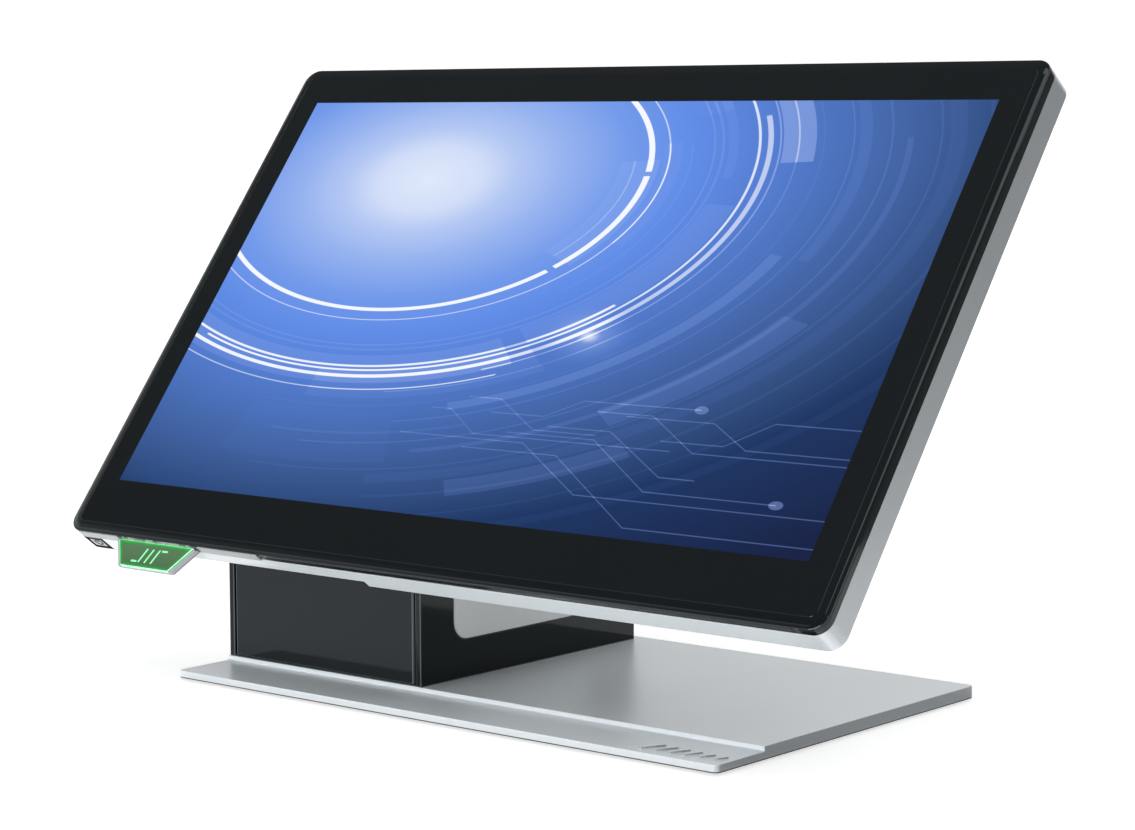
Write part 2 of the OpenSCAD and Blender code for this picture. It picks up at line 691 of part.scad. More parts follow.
module button_board() {
  z0 = head_lo + ring_deep + 1.2 + button_travel + 0.1;
  color([0.1, 0.35, 0.2]) at_head() box(button_u - 4.5, button_u + 12, button_n - 4,
      button_n + 3.2, z0 + 2, z0 + 3.4);
  color([0.2, 0.2, 0.2]) at_head() box(button_u - 2.5, button_u + 2.5, button_n - 2.5,
      button_n + 2.5, z0, z0 + 2);
}

stud_x = [board_u0 + 5, board_u1 - 5];
stud_z = [-24, board_hi - 5];

module mainboard() {
  color([0.07, 0.3, 0.16]) at_head() difference() {
    box(board_u0, board_u1, board_n, board_n + board_t, bay_hi + wall_t + slip, board_hi);
    for (x = stud_x, z = stud_z) translate([x, board_n - e, z]) rotate([-90, 0, 0])
      cylinder(h = board_t + 2 * e, r = 1.25);
  }
  color([0.75, 0.7, 0.55]) at_head() for (x = stud_x, z = stud_z) translate([x, chassis_n, z])
    rotate([-90, 0, 0]) difference() {
      cylinder(h = board_n - chassis_n, r = 3);
      translate([0, 0, 2]) cylinder(h = board_n, r = 1.25);
    }
}

module processor() {
  color([0.3, 0.3, 0.32]) at_head() box(26, 52, board_n + board_t, board_n + board_t + 1.6, 16, 42);
}

module heat_sink() {
  base_n = board_n + board_t + 1.6;
  fins = 13;
  color([0.7, 0.72, 0.74]) at_head() {
    box(6, 72, base_n, base_n + 2.4, -4, 58);
    for (i = [0:fins - 1]) box(6 + i * 5.4, 7.2 + i * 5.4, base_n + 2.3, head_t - wall_t - 1.5, -4, 58);
  }
}

module memory_module() {
  n0 = board_n + board_t;
  color([0.08, 0.35, 0.2]) at_head() box(84, 114, n0 + 2.6, n0 + 3.8, -14, 53.6);
  color([0.12, 0.12, 0.12]) at_head() box(80, 86, n0, n0 + 5, -16, 55.6);
}

module drive_module() {
  n0 = board_n + board_t;
  color([0.08, 0.2, 0.3]) at_head() box(-28, -6, n0 + 2, n0 + 3.6, -20, 60);
  color([0.12, 0.12, 0.12]) at_head() box(-28, -6, n0, n0 + 2, -20, -14);
}

module touch_controller() {
  color([0.1, 0.3, 0.2]) at_head() box(-58, -8, black_t + 0.4, black_t + 2, head_lo + wall_t + 1.5,
      head_lo + wall_t + 10.5);
  color([0.15, 0.15, 0.15]) at_head() box(-38, -28, black_t + 2, black_t + 3.2,
      head_lo + wall_t + 3, head_lo + wall_t + 9);
}

module speakers() {
  color([0.12, 0.12, 0.13]) at_head() for (s = [-1, 1]) difference() {
    box(s * speaker_x - 16, s * speaker_x + 16, 26, head_t - wall_t, 40, 66);
    translate([s * speaker_x, head_t - wall_t - 4, 53]) rotate([-90, 0, 0]) cylinder(h = 5, r = 10);
  }
}

module socket_cut(u, w, h, n0) {
  box(u - w / 2, u + w / 2, n0, n0 + h, bay_hi - e, bay_hi + wall_t + 1);
}

module connector_plate() {
  color([0.72, 0.74, 0.76]) at_head() difference() {
    box(bay_u0 + 3.2, bay_u1 - 2.2, board_n, head_t - wall_t - 0.4, bay_hi + 0.2, bay_hi + 1.1);
    for (u = concat([lan_u], serial_u, [drawer_u])) socket_cut(u, rj_open_w + 0.6, rj_open_h + 3.4,
        port_n + 1);
    for (u = usb_u) socket_cut(u, usb_w - 0.4, usb_h - 0.6, port_n + 0.1);
    translate([jack_u, port_n + jack_h / 2, bay_hi - e]) cylinder(h = 3, r = 3.2);
  }
}

// A modular jack: body with a stepped mouth that faces down the screen
module modular_jack(u) {
  difference() {
    box(u - rj_w / 2, u + rj_w / 2, port_n, port_n + rj_h, port_face, port_face + rj_deep);
    box(u - rj_open_w / 2, u + rj_open_w / 2, port_n + 2, port_n + 2 + rj_open_h, port_face - e,
        port_face + rj_deep - 4);
    box(u - 3, u + 3, port_n + 2, port_n + 4 + rj_open_h, port_face - e, port_face + 8);
  }
}

module network_socket() {
  color([0.7, 0.72, 0.74]) at_head() modular_jack(lan_u);
}

module serial_sockets() {
  color([0.12, 0.12, 0.13]) at_head() for (u = serial_u) modular_jack(u);
}

module drawer_socket() {
  color([0.55, 0.57, 0.6]) at_head() modular_jack(drawer_u);
}

module usb_sockets() {
  color([0.7, 0.72, 0.74]) at_head() for (u = usb_u) difference() {
    box(u - usb_w / 2, u + usb_w / 2, port_n, port_n + usb_h, port_face, port_face + 17);
    for (n = [port_n + 1.4, port_n + usb_h - 1.4 - usb_open_h]) difference() {
      box(u - usb_open_w / 2, u + usb_open_w / 2, n, n + usb_open_h, port_face - e, port_face + 12);
      box(u - 5.6, u + 5.6, n + 2.4, n + 4.1, port_face + 0.8, port_face + 12 + e);
    }
  }
}

module power_jack() {
  color([0.1, 0.1, 0.1]) at_head() {
    difference() {
      box(jack_u - jack_w / 2, jack_u + jack_w / 2, port_n, port_n + jack_h, port_face, port_face + 14);
      translate([jack_u, port_n + jack_h / 2, port_face - e]) cylinder(h = 10, r = 2.9);
    }
    translate([jack_u, port_n + jack_h / 2, port_face + 1]) cylinder(h = 9, r = 1.1);
  }
}

// Plate and posts that carry the hinge's load to the chassis
module backing_plate() {
  n1 = head_t - wall_t;
  color([0.66, 0.68, 0.7]) at_head() difference() {
    union() {
      box(lug_x0 + 2, lug_x1 - 2, n1 - 2, n1, plate_lo, plate_hi);
      for (x = plate_screw_x, z = plate_screw_z)
        translate([x, chassis_n, z]) rotate([-90, 0, 0]) cylinder(h = n1 - chassis_n - 1, r = 4);
    }
    for (x = plate_screw_x, z = plate_screw_z)
      translate([x, n1 - 8, z]) rotate([-90, 0, 0]) cylinder(h = 8 + e, r = 2.2);
  }
}

module hinge_bracket() {
  m = [hinge_n, hinge_w];
  low = touch([head_t + plate_t, plate_lo + 2], m, lug_r, -1);
  high = touch([head_t + plate_t, plate_hi - 2], m, lug_r, 1);
  color([0.55, 0.57, 0.6]) at_head() difference() {
    union() {
      box(lug_x0, lug_x1, head_t, head_t + plate_t, plate_lo, plate_hi);
      for (x = [lug_x0, lug_x1 - lug_t]) along_x(x, x + lug_t) union() {
        polygon([[head_t + 1, plate_lo + 2], [head_t + plate_t, plate_lo + 2], low, m, high,
                 [head_t + plate_t, plate_hi - 2], [head_t + 1, plate_hi - 2]]);
        translate(m) circle(lug_r);
      }
    }
    translate([lug_x0 - e, m[0], m[1]]) rotate([0, 90, 0]) cylinder(h = lug_x1 - lug_x0 + 2 * e, r = shaft_r);
    for (x = plate_screw_x, z = plate_screw_z)
      translate([x, head_t - e, z]) rotate([-90, 0, 0]) cylinder(h = plate_t + 2 * e, r = 2.2);
  }
}

module hinge_shaft() {
  x0 = ped_x0 + shaft_in + 0.1;
  color([0.66, 0.68, 0.7]) translate([x0, hinge[0], hinge[1]]) rotate([0, 90, 0])
    cylinder(h = ped_w - 2 * shaft_in - 0.2, r = shaft_r);
}

module hinge_sleeve() {
  color([0.25, 0.26, 0.28]) translate([lug_x0 + lug_t + 0.1, hinge[0], hinge[1]]) rotate([0, 90,
      0]) difference() {
    cylinder(h = lug_x1 - lug_x0 - 2 * lug_t - 0.2, r = 8);
    translate([0, 0, -e]) cylinder(h = lug_x1 - lug_x0, r = shaft_r + 0.05);
  }
}

module bracket_screws() {
  color([0.3, 0.3, 0.32]) at_head() for (x = plate_screw_x, z = plate_screw_z)
    translate([x, head_t + plate_t, z]) rotate([-90, 0, 0]) screw(2.2, 9, 4, 2.4);
}

module cover_screws() {
  color([0.3, 0.3, 0.32]) at_head() for (x = [-screw_x, screw_x], z = screw_z)
    translate([x, head_t - 2, z]) rotate([-90, 0, 0]) screw(1.2, head_t - 2 - rim_t + back_t, 2.6, 1.7);
}

base_plate();
anti_slip_mat();
pedestal_shell();
pedestal_front_panel();
pedestal_back_cover();
mains_inlet();
foot_bracket();
neck_arm();
neck_back_cover();
power_supply();
foot_screws();
arm_screws();
friction_washers();
shaft_caps();
touch_glass();
bezel_frame();
display_panel();
chassis_plate();
rear_housing();
rear_cover();
module_strip();
strip_window();
strip_inserts();
light_tab();
tab_holder();
light_board();
button_bezel();
button_board();
power_button();
mainboard();
processor();
heat_sink();
memory_module();
drive_module();
touch_controller();
speakers();
connector_plate();
network_socket();
serial_sockets();
usb_sockets();
drawer_socket();
power_jack();
backing_plate();
hinge_bracket();
hinge_shaft();
hinge_sleeve();
bracket_screws();
cover_screws();
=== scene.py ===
"""Looks of the all-in-one touch terminal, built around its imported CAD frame.

Lengths are in metres, in the part's own frame."""
import json
import math

import bmesh
import bpy
from mathutils import Euler, Matrix, Vector

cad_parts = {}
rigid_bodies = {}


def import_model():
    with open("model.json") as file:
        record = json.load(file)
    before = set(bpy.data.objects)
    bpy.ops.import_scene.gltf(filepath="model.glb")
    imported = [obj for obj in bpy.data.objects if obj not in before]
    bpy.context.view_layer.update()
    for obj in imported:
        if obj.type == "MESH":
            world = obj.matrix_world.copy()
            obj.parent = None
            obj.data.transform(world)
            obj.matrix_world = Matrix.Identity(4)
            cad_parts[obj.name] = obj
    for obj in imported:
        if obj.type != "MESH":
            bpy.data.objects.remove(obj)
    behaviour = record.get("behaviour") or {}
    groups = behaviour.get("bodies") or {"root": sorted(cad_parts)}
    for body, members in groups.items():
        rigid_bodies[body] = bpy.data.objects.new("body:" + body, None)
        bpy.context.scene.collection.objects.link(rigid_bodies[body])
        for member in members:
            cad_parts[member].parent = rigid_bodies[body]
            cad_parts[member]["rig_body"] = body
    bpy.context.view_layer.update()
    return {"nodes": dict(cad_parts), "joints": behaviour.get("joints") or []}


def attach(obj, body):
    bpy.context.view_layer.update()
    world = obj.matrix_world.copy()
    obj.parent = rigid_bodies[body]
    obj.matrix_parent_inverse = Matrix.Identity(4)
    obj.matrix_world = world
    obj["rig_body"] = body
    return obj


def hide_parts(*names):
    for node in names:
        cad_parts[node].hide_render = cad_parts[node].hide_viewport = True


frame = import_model()
MM = 0.001
NODES = frame["nodes"]
CAD_SLOTS = {name: node.data.materials[0].name for name, node in NODES.items()}

# ---- the head's own axes: u along the screen, n depth behind the glass, w up the screen ----


def joint(name):
    return next(j for j in frame["joints"] if j["name"] == name)


def span(node, axis):
    """Lowest and highest place of a CAD node along a direction."""
    places = [axis.dot(v.co) for v in NODES[node].data.vertices]
    return min(places), max(places)


RIGHT = Vector((1, 0, 0))
UP = Vector(joint("button_press")["axis"]).normalized()
DEPTH = UP.cross(RIGHT)
GLASS_FACE = span("touch_glass", DEPTH)[0]
SCREEN_MID = sum(span("display_panel", UP)) / 2
HEAD_TURN = Matrix((RIGHT, DEPTH, UP)).transposed().to_4x4()
HEAD = Matrix.Translation(DEPTH * GLASS_FACE + UP * SCREEN_MID) @ HEAD_TURN


def head_span(node, axis):
    """A node's span in the head's own axes, in metres: axis 0 is u, 1 is n and 2 is w."""
    places = [(HEAD.inverted() @ v.co)[axis] for v in NODES[node].data.vertices]
    return min(places), max(places)


# ---- node trees ----


class Paint:
    """One material, with short calls for the nodes that its finish is made of."""

    def __init__(self, name, **inputs):
        self.material = bpy.data.materials.new(name)
        self.material.use_nodes = True
        self.tree = self.material.node_tree
        self.shader = self.tree.nodes["Principled BSDF"]
        for socket, value in inputs.items():
            self.set(socket.replace("_", " "), value)
        self.place = self.node("ShaderNodeTexCoord").outputs["Object"]

    def node(self, kind, **settings):
        made = self.tree.nodes.new(kind)
        for key, value in settings.items():
            setattr(made, key, value)
        return made

    def link(self, source, target):
        self.tree.links.new(source, target)

    def feed(self, socket, value):
        """Puts a number or another node's output into a socket."""
        if isinstance(value, bpy.types.NodeSocket):
            self.link(value, socket)
        else:
            socket.default_value = value

    def set(self, name, value):
        if isinstance(value, tuple) and len(value) == 3:
            value = (*value, 1)
        self.feed(self.shader.inputs[name], value)

    def scaled(self, factors):
        made = self.node("ShaderNodeVectorMath", operation="MULTIPLY")
        self.link(self.place, made.inputs[0])
        made.inputs[1].default_value = factors
        return made.outputs[0]

    def noise(self, scale, detail=2.0, rough=0.5, place=None):
        made = self.node("ShaderNodeTexNoise")
        self.link(place or self.place, made.inputs["Vector"])
        made.inputs["Scale"].default_value = scale
        made.inputs["Detail"].default_value = detail
        made.inputs["Roughness"].default_value = rough
        return made.outputs["Fac"]

    def cells(self, scale, place=None, feature="F1", output="Distance"):
        made = self.node("ShaderNodeTexVoronoi", feature=feature)
        self.link(place or self.place, made.inputs["Vector"])
        made.inputs["Scale"].default_value = scale
        return made.outputs[output]

    def ramp(self, factor, *stops):
        """Colour by a factor: stops are (place, colour)."""
        made = self.node("ShaderNodeValToRGB")
        self.link(factor, made.inputs["Fac"])
        line = made.color_ramp.elements
        while len(line) < len(stops):
            line.new(0.5)
        for element, (place, colour) in zip(line, stops):
            element.position = place
            element.color = (*colour, 1)
        return made.outputs["Color"]

    def spread(self, factor, low, high, start=0.3, end=0.7):
        """A number from low to high as the factor goes from start to end."""
        made = self.node("ShaderNodeMapRange")
        self.link(factor, made.inputs["Value"])
        for socket, value in zip(("From Min", "From Max", "To Min", "To Max"), (start, end, low, high)):
            made.inputs[socket].default_value = value
        return made.outputs["Result"]

    def blend(self, factor, first, second, mode="MIX"):
        made = self.node("ShaderNodeMix", data_type="RGBA", blend_type=mode)
        self.feed(made.inputs["Factor"], factor)
        for socket, value in zip(("A", "B"), (first, second)):
            found = [s for s in made.inputs if s.name == socket and s.type == "RGBA"][0]
            self.feed(found, (*value, 1) if isinstance(value, tuple) else value)
        return [s for s in made.outputs if s.type == "RGBA"][0]

    def math(self, operation, first, second=0.0):
        made = self.node("ShaderNodeMath", operation=operation)
        for socket, value in zip(made.inputs, (first, second)):
            self.feed(socket, value)
        return made.outputs[0]

    def bump(self, height, depth, strength):
        """Small relief: its height in metres is depth times a texture."""
        made = self.node("ShaderNodeBump")
        self.link(height, made.inputs["Height"])
        made.inputs["Distance"].default_value = depth
        made.inputs["Strength"].default_value = strength
        return made.outputs["Normal"]

    def normal(self, value):
        self.link(value, self.shader.inputs["Normal"])


def shade(colour, factor):
    return tuple(min(1.0, c * factor) for c in colour)


def blasted_metal(name, colour, roughness=0.36, metallic=1.0, painted_shade_height=0.0):
    """Bead-blasted, anodised or painted metal: fine grain, faint clouds and small handling marks.

    Below the height given last, in metres, the colour is painted dark: painted shade along the lower edge
    over its mat."""
    paint = Paint(name, Metallic=metallic)
    clouds = paint.noise(14, 3)
    grain = paint.noise(5200, 2, 0.6)
    fine = paint.blend(paint.spread(grain, 0, 1, 0.35, 0.65), shade(colour, 0.965), shade(colour, 1.03))
    tone = paint.blend(paint.spread(clouds, 0, 0.3), fine, shade(colour, 0.96))
    # Painted shade: the colour goes dark below the given height, as along an unlit lower edge.
    height = paint.node("ShaderNodeSeparateXYZ")
    paint.link(paint.place, height.inputs[0])
    dark = paint.spread(height.outputs[2], 1, 0, painted_shade_height - 0.1 * MM, painted_shade_height + 0.1 * MM)
    paint.set("Base Color", paint.blend(dark, tone, shade(colour, 0.05)))
    marks = paint.noise(60, 6, 0.6, paint.scaled((1, 0.4, 1)))
    wear = paint.math("ADD", paint.spread(grain, -0.02, 0.02), paint.spread(marks, -0.012, 0.02, 0.35, 0.75))
    paint.set("Roughness", paint.math("ADD", wear, roughness))
    paint.normal(paint.bump(grain, 0.00003, 0.2))
    return paint.material


def flake_paint(name, colour, roughness=0.34, painted_underlight=1.0):
    """Silver car-like paint on plastic: metal flakes under a thin satin coat.

    Faces that look down the screen are painted lighter by the factor given last: painted light, as if from
    the floor below."""
    paint = Paint(name, Metallic=0.3, Coat_Weight=0.25, Coat_Roughness=0.22)
    flakes = paint.cells(5200, output="Color")
    speck = paint.node("ShaderNodeSeparateColor")
    paint.link(flakes, speck.inputs["Color"])
    bright = paint.spread(speck.outputs[0], 0, 1, 0.0, 1.0)
    tone = paint.blend(bright, shade(colour, 0.94), shade(colour, 1.05))
    clouds = paint.noise(22, 3)
    tone = paint.blend(paint.spread(clouds, 0, 0.3), tone, shade(colour, 0.94))
    # Painted light: faces that look down the screen get a lighter colour.
    facing = paint.node("ShaderNodeVectorMath", operation="DOT_PRODUCT")
    paint.link(paint.node("ShaderNodeTexCoord").outputs["Normal"], facing.inputs[0])
    facing.inputs[1].default_value = -UP
    lower = paint.spread(facing.outputs["Value"], 0, 1, 0.5, 0.9)
    paint.set("Base Color", paint.blend(lower, tone, shade(colour, painted_underlight)))
    paint.set("Roughness", paint.spread(paint.noise(900, 3), roughness - 0.04, roughness + 0.05))
    paint.normal(paint.bump(paint.noise(2600, 2), 0.00003, 0.3))
    return paint.material


def gloss_plastic(name, colour, roughness=0.06, level=0.5, dust=0.6):
    """Polished black plastic: mirror gloss with hairline swirls and a trace of dust."""
    paint = Paint(name, Specular_IOR_Level=level, Specular_Tint=(0.84, 0.95, 1.0))
    swirls = paint.noise(700, 5, 0.65, paint.scaled((1, 0.3, 0.5)))
    specks = paint.cells(420)
    dusty = paint.spread(specks, dust, 0, 0.0, 0.035)
    haze = paint.spread(paint.noise(26, 4), 0, 0.22)
    tone = paint.blend(haze, colour, shade(colour, 1.5))
    paint.set("Base Color", paint.blend(dusty, tone, (0.13, 0.13, 0.13)))
    paint.set("Roughness", paint.math("ADD", paint.spread(swirls, 0, 0.05, 0.42, 0.7), roughness))
    paint.normal(paint.bump(paint.noise(60, 2), 0.00006, 0.12))
    return paint.material


def moulded_plastic(name, colour, roughness=0.5, grain_size=3000, depth=0.00005, level=0.4):
    """Textured moulded plastic: spark-eroded grain, slight mottling and paler rubbed spots."""
    paint = Paint(name, Specular_IOR_Level=level)
    grain = paint.cells(grain_size)
    clouds = paint.noise(30, 5)
    tone = paint.blend(paint.spread(clouds, 0, 0.5), colour, shade(colour, 1.35))
    paint.set("Base Color", paint.blend(paint.spread(grain, 0.35, 0, 0.0, 0.5), tone, shade(colour, 0.6)))
    paint.set("Roughness", paint.spread(paint.noise(400, 3), roughness - 0.06, roughness + 0.08))
    paint.normal(paint.bump(grain, depth, 0.5))
    return paint.material


def cut_metal(name, colour, roughness=0.3, along=(1, 60, 60)):
    """Machined, rolled or ground metal with fine lines in one direction."""
    paint = Paint(name, Metallic=1.0)
    lines = paint.noise(90, 4, 0.6, paint.scaled(along))
    stains = paint.noise(35, 4)
    tone = paint.blend(paint.spread(lines, 0, 1, 0.35, 0.65), shade(colour, 0.86), colour)
    paint.set("Base Color", paint.blend(paint.spread(stains, 0, 0.4), tone, shade(colour, 0.82)))
    paint.set("Roughness", paint.spread(lines, roughness - 0.05, roughness + 0.1, 0.35, 0.65))
    paint.normal(paint.bump(lines, 0.00003, 0.4))
    return paint.material


def rubber(name, colour=(0.018, 0.018, 0.019)):
    """Black rubber sheet with a pebbled face and paler worn patches."""
    paint = Paint(name, Specular_IOR_Level=0.3)
    pebbles = paint.cells(1500)
    worn = paint.spread(paint.noise(50, 4), 0, 0.6)
    paint.set("Base Color", paint.blend(worn, colour, shade(colour, 1.8)))
    paint.set("Roughness", paint.spread(pebbles, 0.72, 0.9, 0.0, 0.5))
    paint.normal(paint.bump(pebbles, 0.0001, 0.6))
    return paint.material


def circuit_board(name, colour=(0.012, 0.095, 0.04)):
    """Solder-masked board: copper runs under the mask, small pads and a fine weave."""
    paint = Paint(name, Specular_IOR_Level=0.5, Coat_Weight=0.3, Coat_Roughness=0.15)
    runs = paint.cells(260, paint.scaled((1, 0.45, 1)), "DISTANCE_TO_EDGE")
    pads = paint.cells(620)
    track = paint.blend(paint.spread(runs, 1, 0, 0.04, 0.09), colour, shade(colour, 2.1))
    paint.set("Base Color", paint.blend(paint.spread(pads, 1, 0, 0.1, 0.14), track, (0.6, 0.5, 0.28)))
    paint.set("Roughness", paint.spread(paint.noise(300, 2), 0.28, 0.42))
    paint.normal(paint.bump(runs, 0.00005, 0.4))
    return paint.material


# ---- mesh making ----


def piece(name, mesh, body, *materials, place=None, stands_for=(), slot=None):
    """A mesh shown on a CAD body. place is the matrix of the axes that the mesh was drawn in."""
    made = bpy.data.objects.new(name, mesh)
    bpy.context.scene.collection.objects.link(made)
    if place is not None:
        mesh.transform(place)
    for material in materials:
        made.data.materials.append(material)
    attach(made, body)
    if stands_for:
        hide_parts(*stands_for)
    return made


def smooth(mesh, angle=28):
    for face in mesh.polygons:
        face.use_smooth = True
    mesh.set_sharp_from_angle(angle=math.radians(angle))


def mesh_of(bm, name, angle=28):
    bmesh.ops.recalc_face_normals(bm, faces=bm.faces)
    mesh = bpy.data.meshes.new(name)
    bm.to_mesh(mesh)
    bm.free()
    smooth(mesh, angle)
    return mesh


WELD = 0.002 * MM
FLAT = math.radians(0.5)
CREASE = math.radians(35)
FRAMED = ("pedestal_shell",)    # nodes with faces that run round an opening, which are cut into triangles


def rounded(node, material, width, segments=2, crease=CREASE):
    """Stands for a CAD node: the same shape with its edges rounded by width, in metres."""
    source = NODES[node]
    bm = bmesh.new()
    bm.from_mesh(source.data)
    bmesh.ops.remove_doubles(bm, verts=bm.verts, dist=WELD)
    bmesh.ops.dissolve_limit(bm, angle_limit=FLAT, verts=bm.verts, edges=bm.edges)
    if node in FRAMED:
        hollow = [f for f in bm.faces if not all(loop.is_convex for loop in f.loops)]
        bmesh.ops.triangulate(bm, faces=hollow)
    mesh = bpy.data.meshes.new(node + "_rounded")
    bm.to_mesh(mesh)
    bm.free()
    body = source["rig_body"]
    made = piece(node + "_finish", mesh, body, material, stands_for=(node,), slot=slot_of(node))
    bevel = made.modifiers.new("rounded edges", "BEVEL")
    bevel.width = width
    bevel.segments = segments
    bevel.limit_method = "ANGLE"
    bevel.angle_limit = crease
    bevel.harden_normals = True
    bevel.miter_outer = "MITER_ARC" if segments > 2 else "MITER_SHARP"
    smooth(mesh, 30)
    return made


def paint_edge_highlight(node, material):
    """A second material on the rounded edges alone, used here for a painted highlight along them."""
    made = bpy.data.objects[node + "_finish"]
    made.data.materials.append(material)
    made.modifiers["rounded edges"].material = 1


def side_finish(node, material, axis):
    """A second finish, on the faces that don't look along axis."""
    made = bpy.data.objects[node + "_finish"]
    made.data.materials.append(material)
    for polygon in made.data.polygons:
        if polygon.normal.dot(axis) < 0.7:
            polygon.material_index = 1


def slot_of(node):
    return CAD_SLOTS[node]


def give_finish(node, material):
    """Gives a CAD node that stays as it is its finish."""
    slots = NODES[node].data.materials
    for i in range(len(slots)):
        slots[i] = material


# ---- the picture on the screen ----


class Sum:
    """A number worked out by math nodes, written with ordinary signs."""

    def __init__(self, paint, socket):
        self.paint, self.socket = paint, socket

    def work(self, operation, *others):
        values = [o.socket if isinstance(o, Sum) else o for o in (self, *others)]
        return Sum(self.paint, self.paint.math(operation, *values))

    def __add__(self, other):
        return self.work("ADD", other)

    def __sub__(self, other):
        return self.work("SUBTRACT", other)

    def __mul__(self, other):
        return self.work("MULTIPLY", other)

    def __truediv__(self, other):
        return self.work("DIVIDE", other)

    def __abs__(self):
        return self.work("ABSOLUTE")

    def root(self):
        return self.work("SQRT")

    def most(self, other):
        return self.work("MAXIMUM", other)

    def kept(self, low, high):
        return self.most(low).work("MINIMUM", high)

    def rise(self, start, end, low=0.0, high=1.0):
        """A smooth step from low to high as this number goes from start to end."""
        made = self.paint.node("ShaderNodeMapRange", interpolation_type="SMOOTHSTEP")
        for socket, value in zip(("Value", "From Min", "From Max", "To Min", "To Max"),
                                 (self.socket, start, end, low, high)):
            self.paint.feed(made.inputs[socket], value)
        return Sum(self.paint, made.outputs["Result"])

    def within(self, low, high, soft):
        """1 between low and high, 0 outside."""
        middle, half = (low + high) / 2, (high - low) / 2
        return abs(self - middle).rise(half - soft, half + soft, 1.0, 0.0)


def srgb(red, green, blue):
    """A colour as seen on a display, 0 to 255, as the linear colour that shaders take."""
    seen = [c / 255 for c in (red, green, blue)]
    return tuple(c / 12.92 if c <= 0.04045 else ((c + 0.055) / 1.055) ** 2.4 for c in seen)


GLOW = (-84.0, 57.0)          # the brightest spot, from the middle of the screen, in millimetres
STRETCH = 1.74                # every ring is this much wider than high
EDGE = 0.16                   # softness of a drawn edge
SKY = (                       # colour by distance from the glow
    (0, srgb(222, 231, 250)), (16, srgb(208, 220, 247)), (26, srgb(178, 198, 242)),
    (40, srgb(148, 177, 238)), (58, srgb(112, 152, 233)), (76, srgb(92, 138, 230)),
    (98, srgb(80, 122, 206)), (124, srgb(64, 102, 172)), (146, srgb(48, 82, 140)),
    (166, srgb(14, 52, 105)), (206, srgb(0, 26, 74)),
)
# Rings as radius, width, strength, first angle and last angle
RINGS = (
    (64.5, 1.7, 1.0, -182, -41), (64.5, 1.7, 1.0, -39, 3), (64.5, 1.7, 1.0, 5, 92),
    (69.5, 0.5, 0.75, -182, 92), (60.0, 0.4, 0.28, -50, 12), (75.5, 0.4, 0.25, -42, 14),
    (81.5, 0.5, 0.3, -182, 92), (83.8, 0.7, 0.26, -182, 92), (86.6, 2.6, 0.16, 2, 92),
    (91.5, 1.0, 0.7, -182, -38), (93.4, 0.8, 0.85, -120, 92), (96.2, 1.5, 0.72, -182, 20),
    (98.8, 0.5, 0.5, -64, 92), (102.4, 0.55, 0.72, -182, -62), (103.6, 0.4, 0.3, -80, 92),
    (113.0, 3.4, 0.22, -70, -16), (117.5, 0.4, 0.2, -78, 40), (120.5, 3.0, 0.1, -16, 60),
    (127.0, 0.5, 0.16, -90, 30), (131.5, 1.6, 0.12, -75, 10), (139.0, 0.5, 0.1, -95, 50),
    (143.0, 4.0, 0.05, -80, 40), (151.0, 1.0, 0.06, -80, 30), (160.0, 0.5, 0.06, -80, 20),
    (168.0, 3.0, 0.03, -70, 10), (122.5, 1.0, 0.1, -95, -68), (110.0, 0.4, 0.12, -100, 70),
)
# Translucent blocks between two radii
BLOCKS = (
    (56, 67, 0.30, -36, 10), (68, 73, 0.16, -24, 16), (84.5, 92.5, 0.2, -55, -6),
    (86.5, 99.5, 0.24, -180, -59), (93, 106.5, 0.12, -93, -55), (99.5, 108, 0.42, 6, 46),
    (78, 88, 0.1, 24, 70), (130, 138, 0.12, -52, -26), (146, 153, 0.12, -71, -52),
    (112, 136, 0.04, -100, -78),
)
# Thin traces as first u, height, u where it bends, u where it is straight again, slope and last u
TRACES = (
    (-34, -62, 28, 62, -0.57, 172), (-24, -50, -14, 2, -0.62, 96), (-8, -44, 8, 30, -0.55, 60),
    (6, -50, 32, 48, 0.5, 102), (36, -54, 66, 96, -0.56, 112), (18, -58, 60, 92, -0.6, 150),
    (56, -46, 82, 106, -0.58, 172), (0, -66, 46, 90, -0.6, 172), (90, -56, 118, 136, 0.6, 172),
    (70, -47, 110, 128, -0.55, 172),
)
DOTS = ((102, -42.0), (150, -77.2))


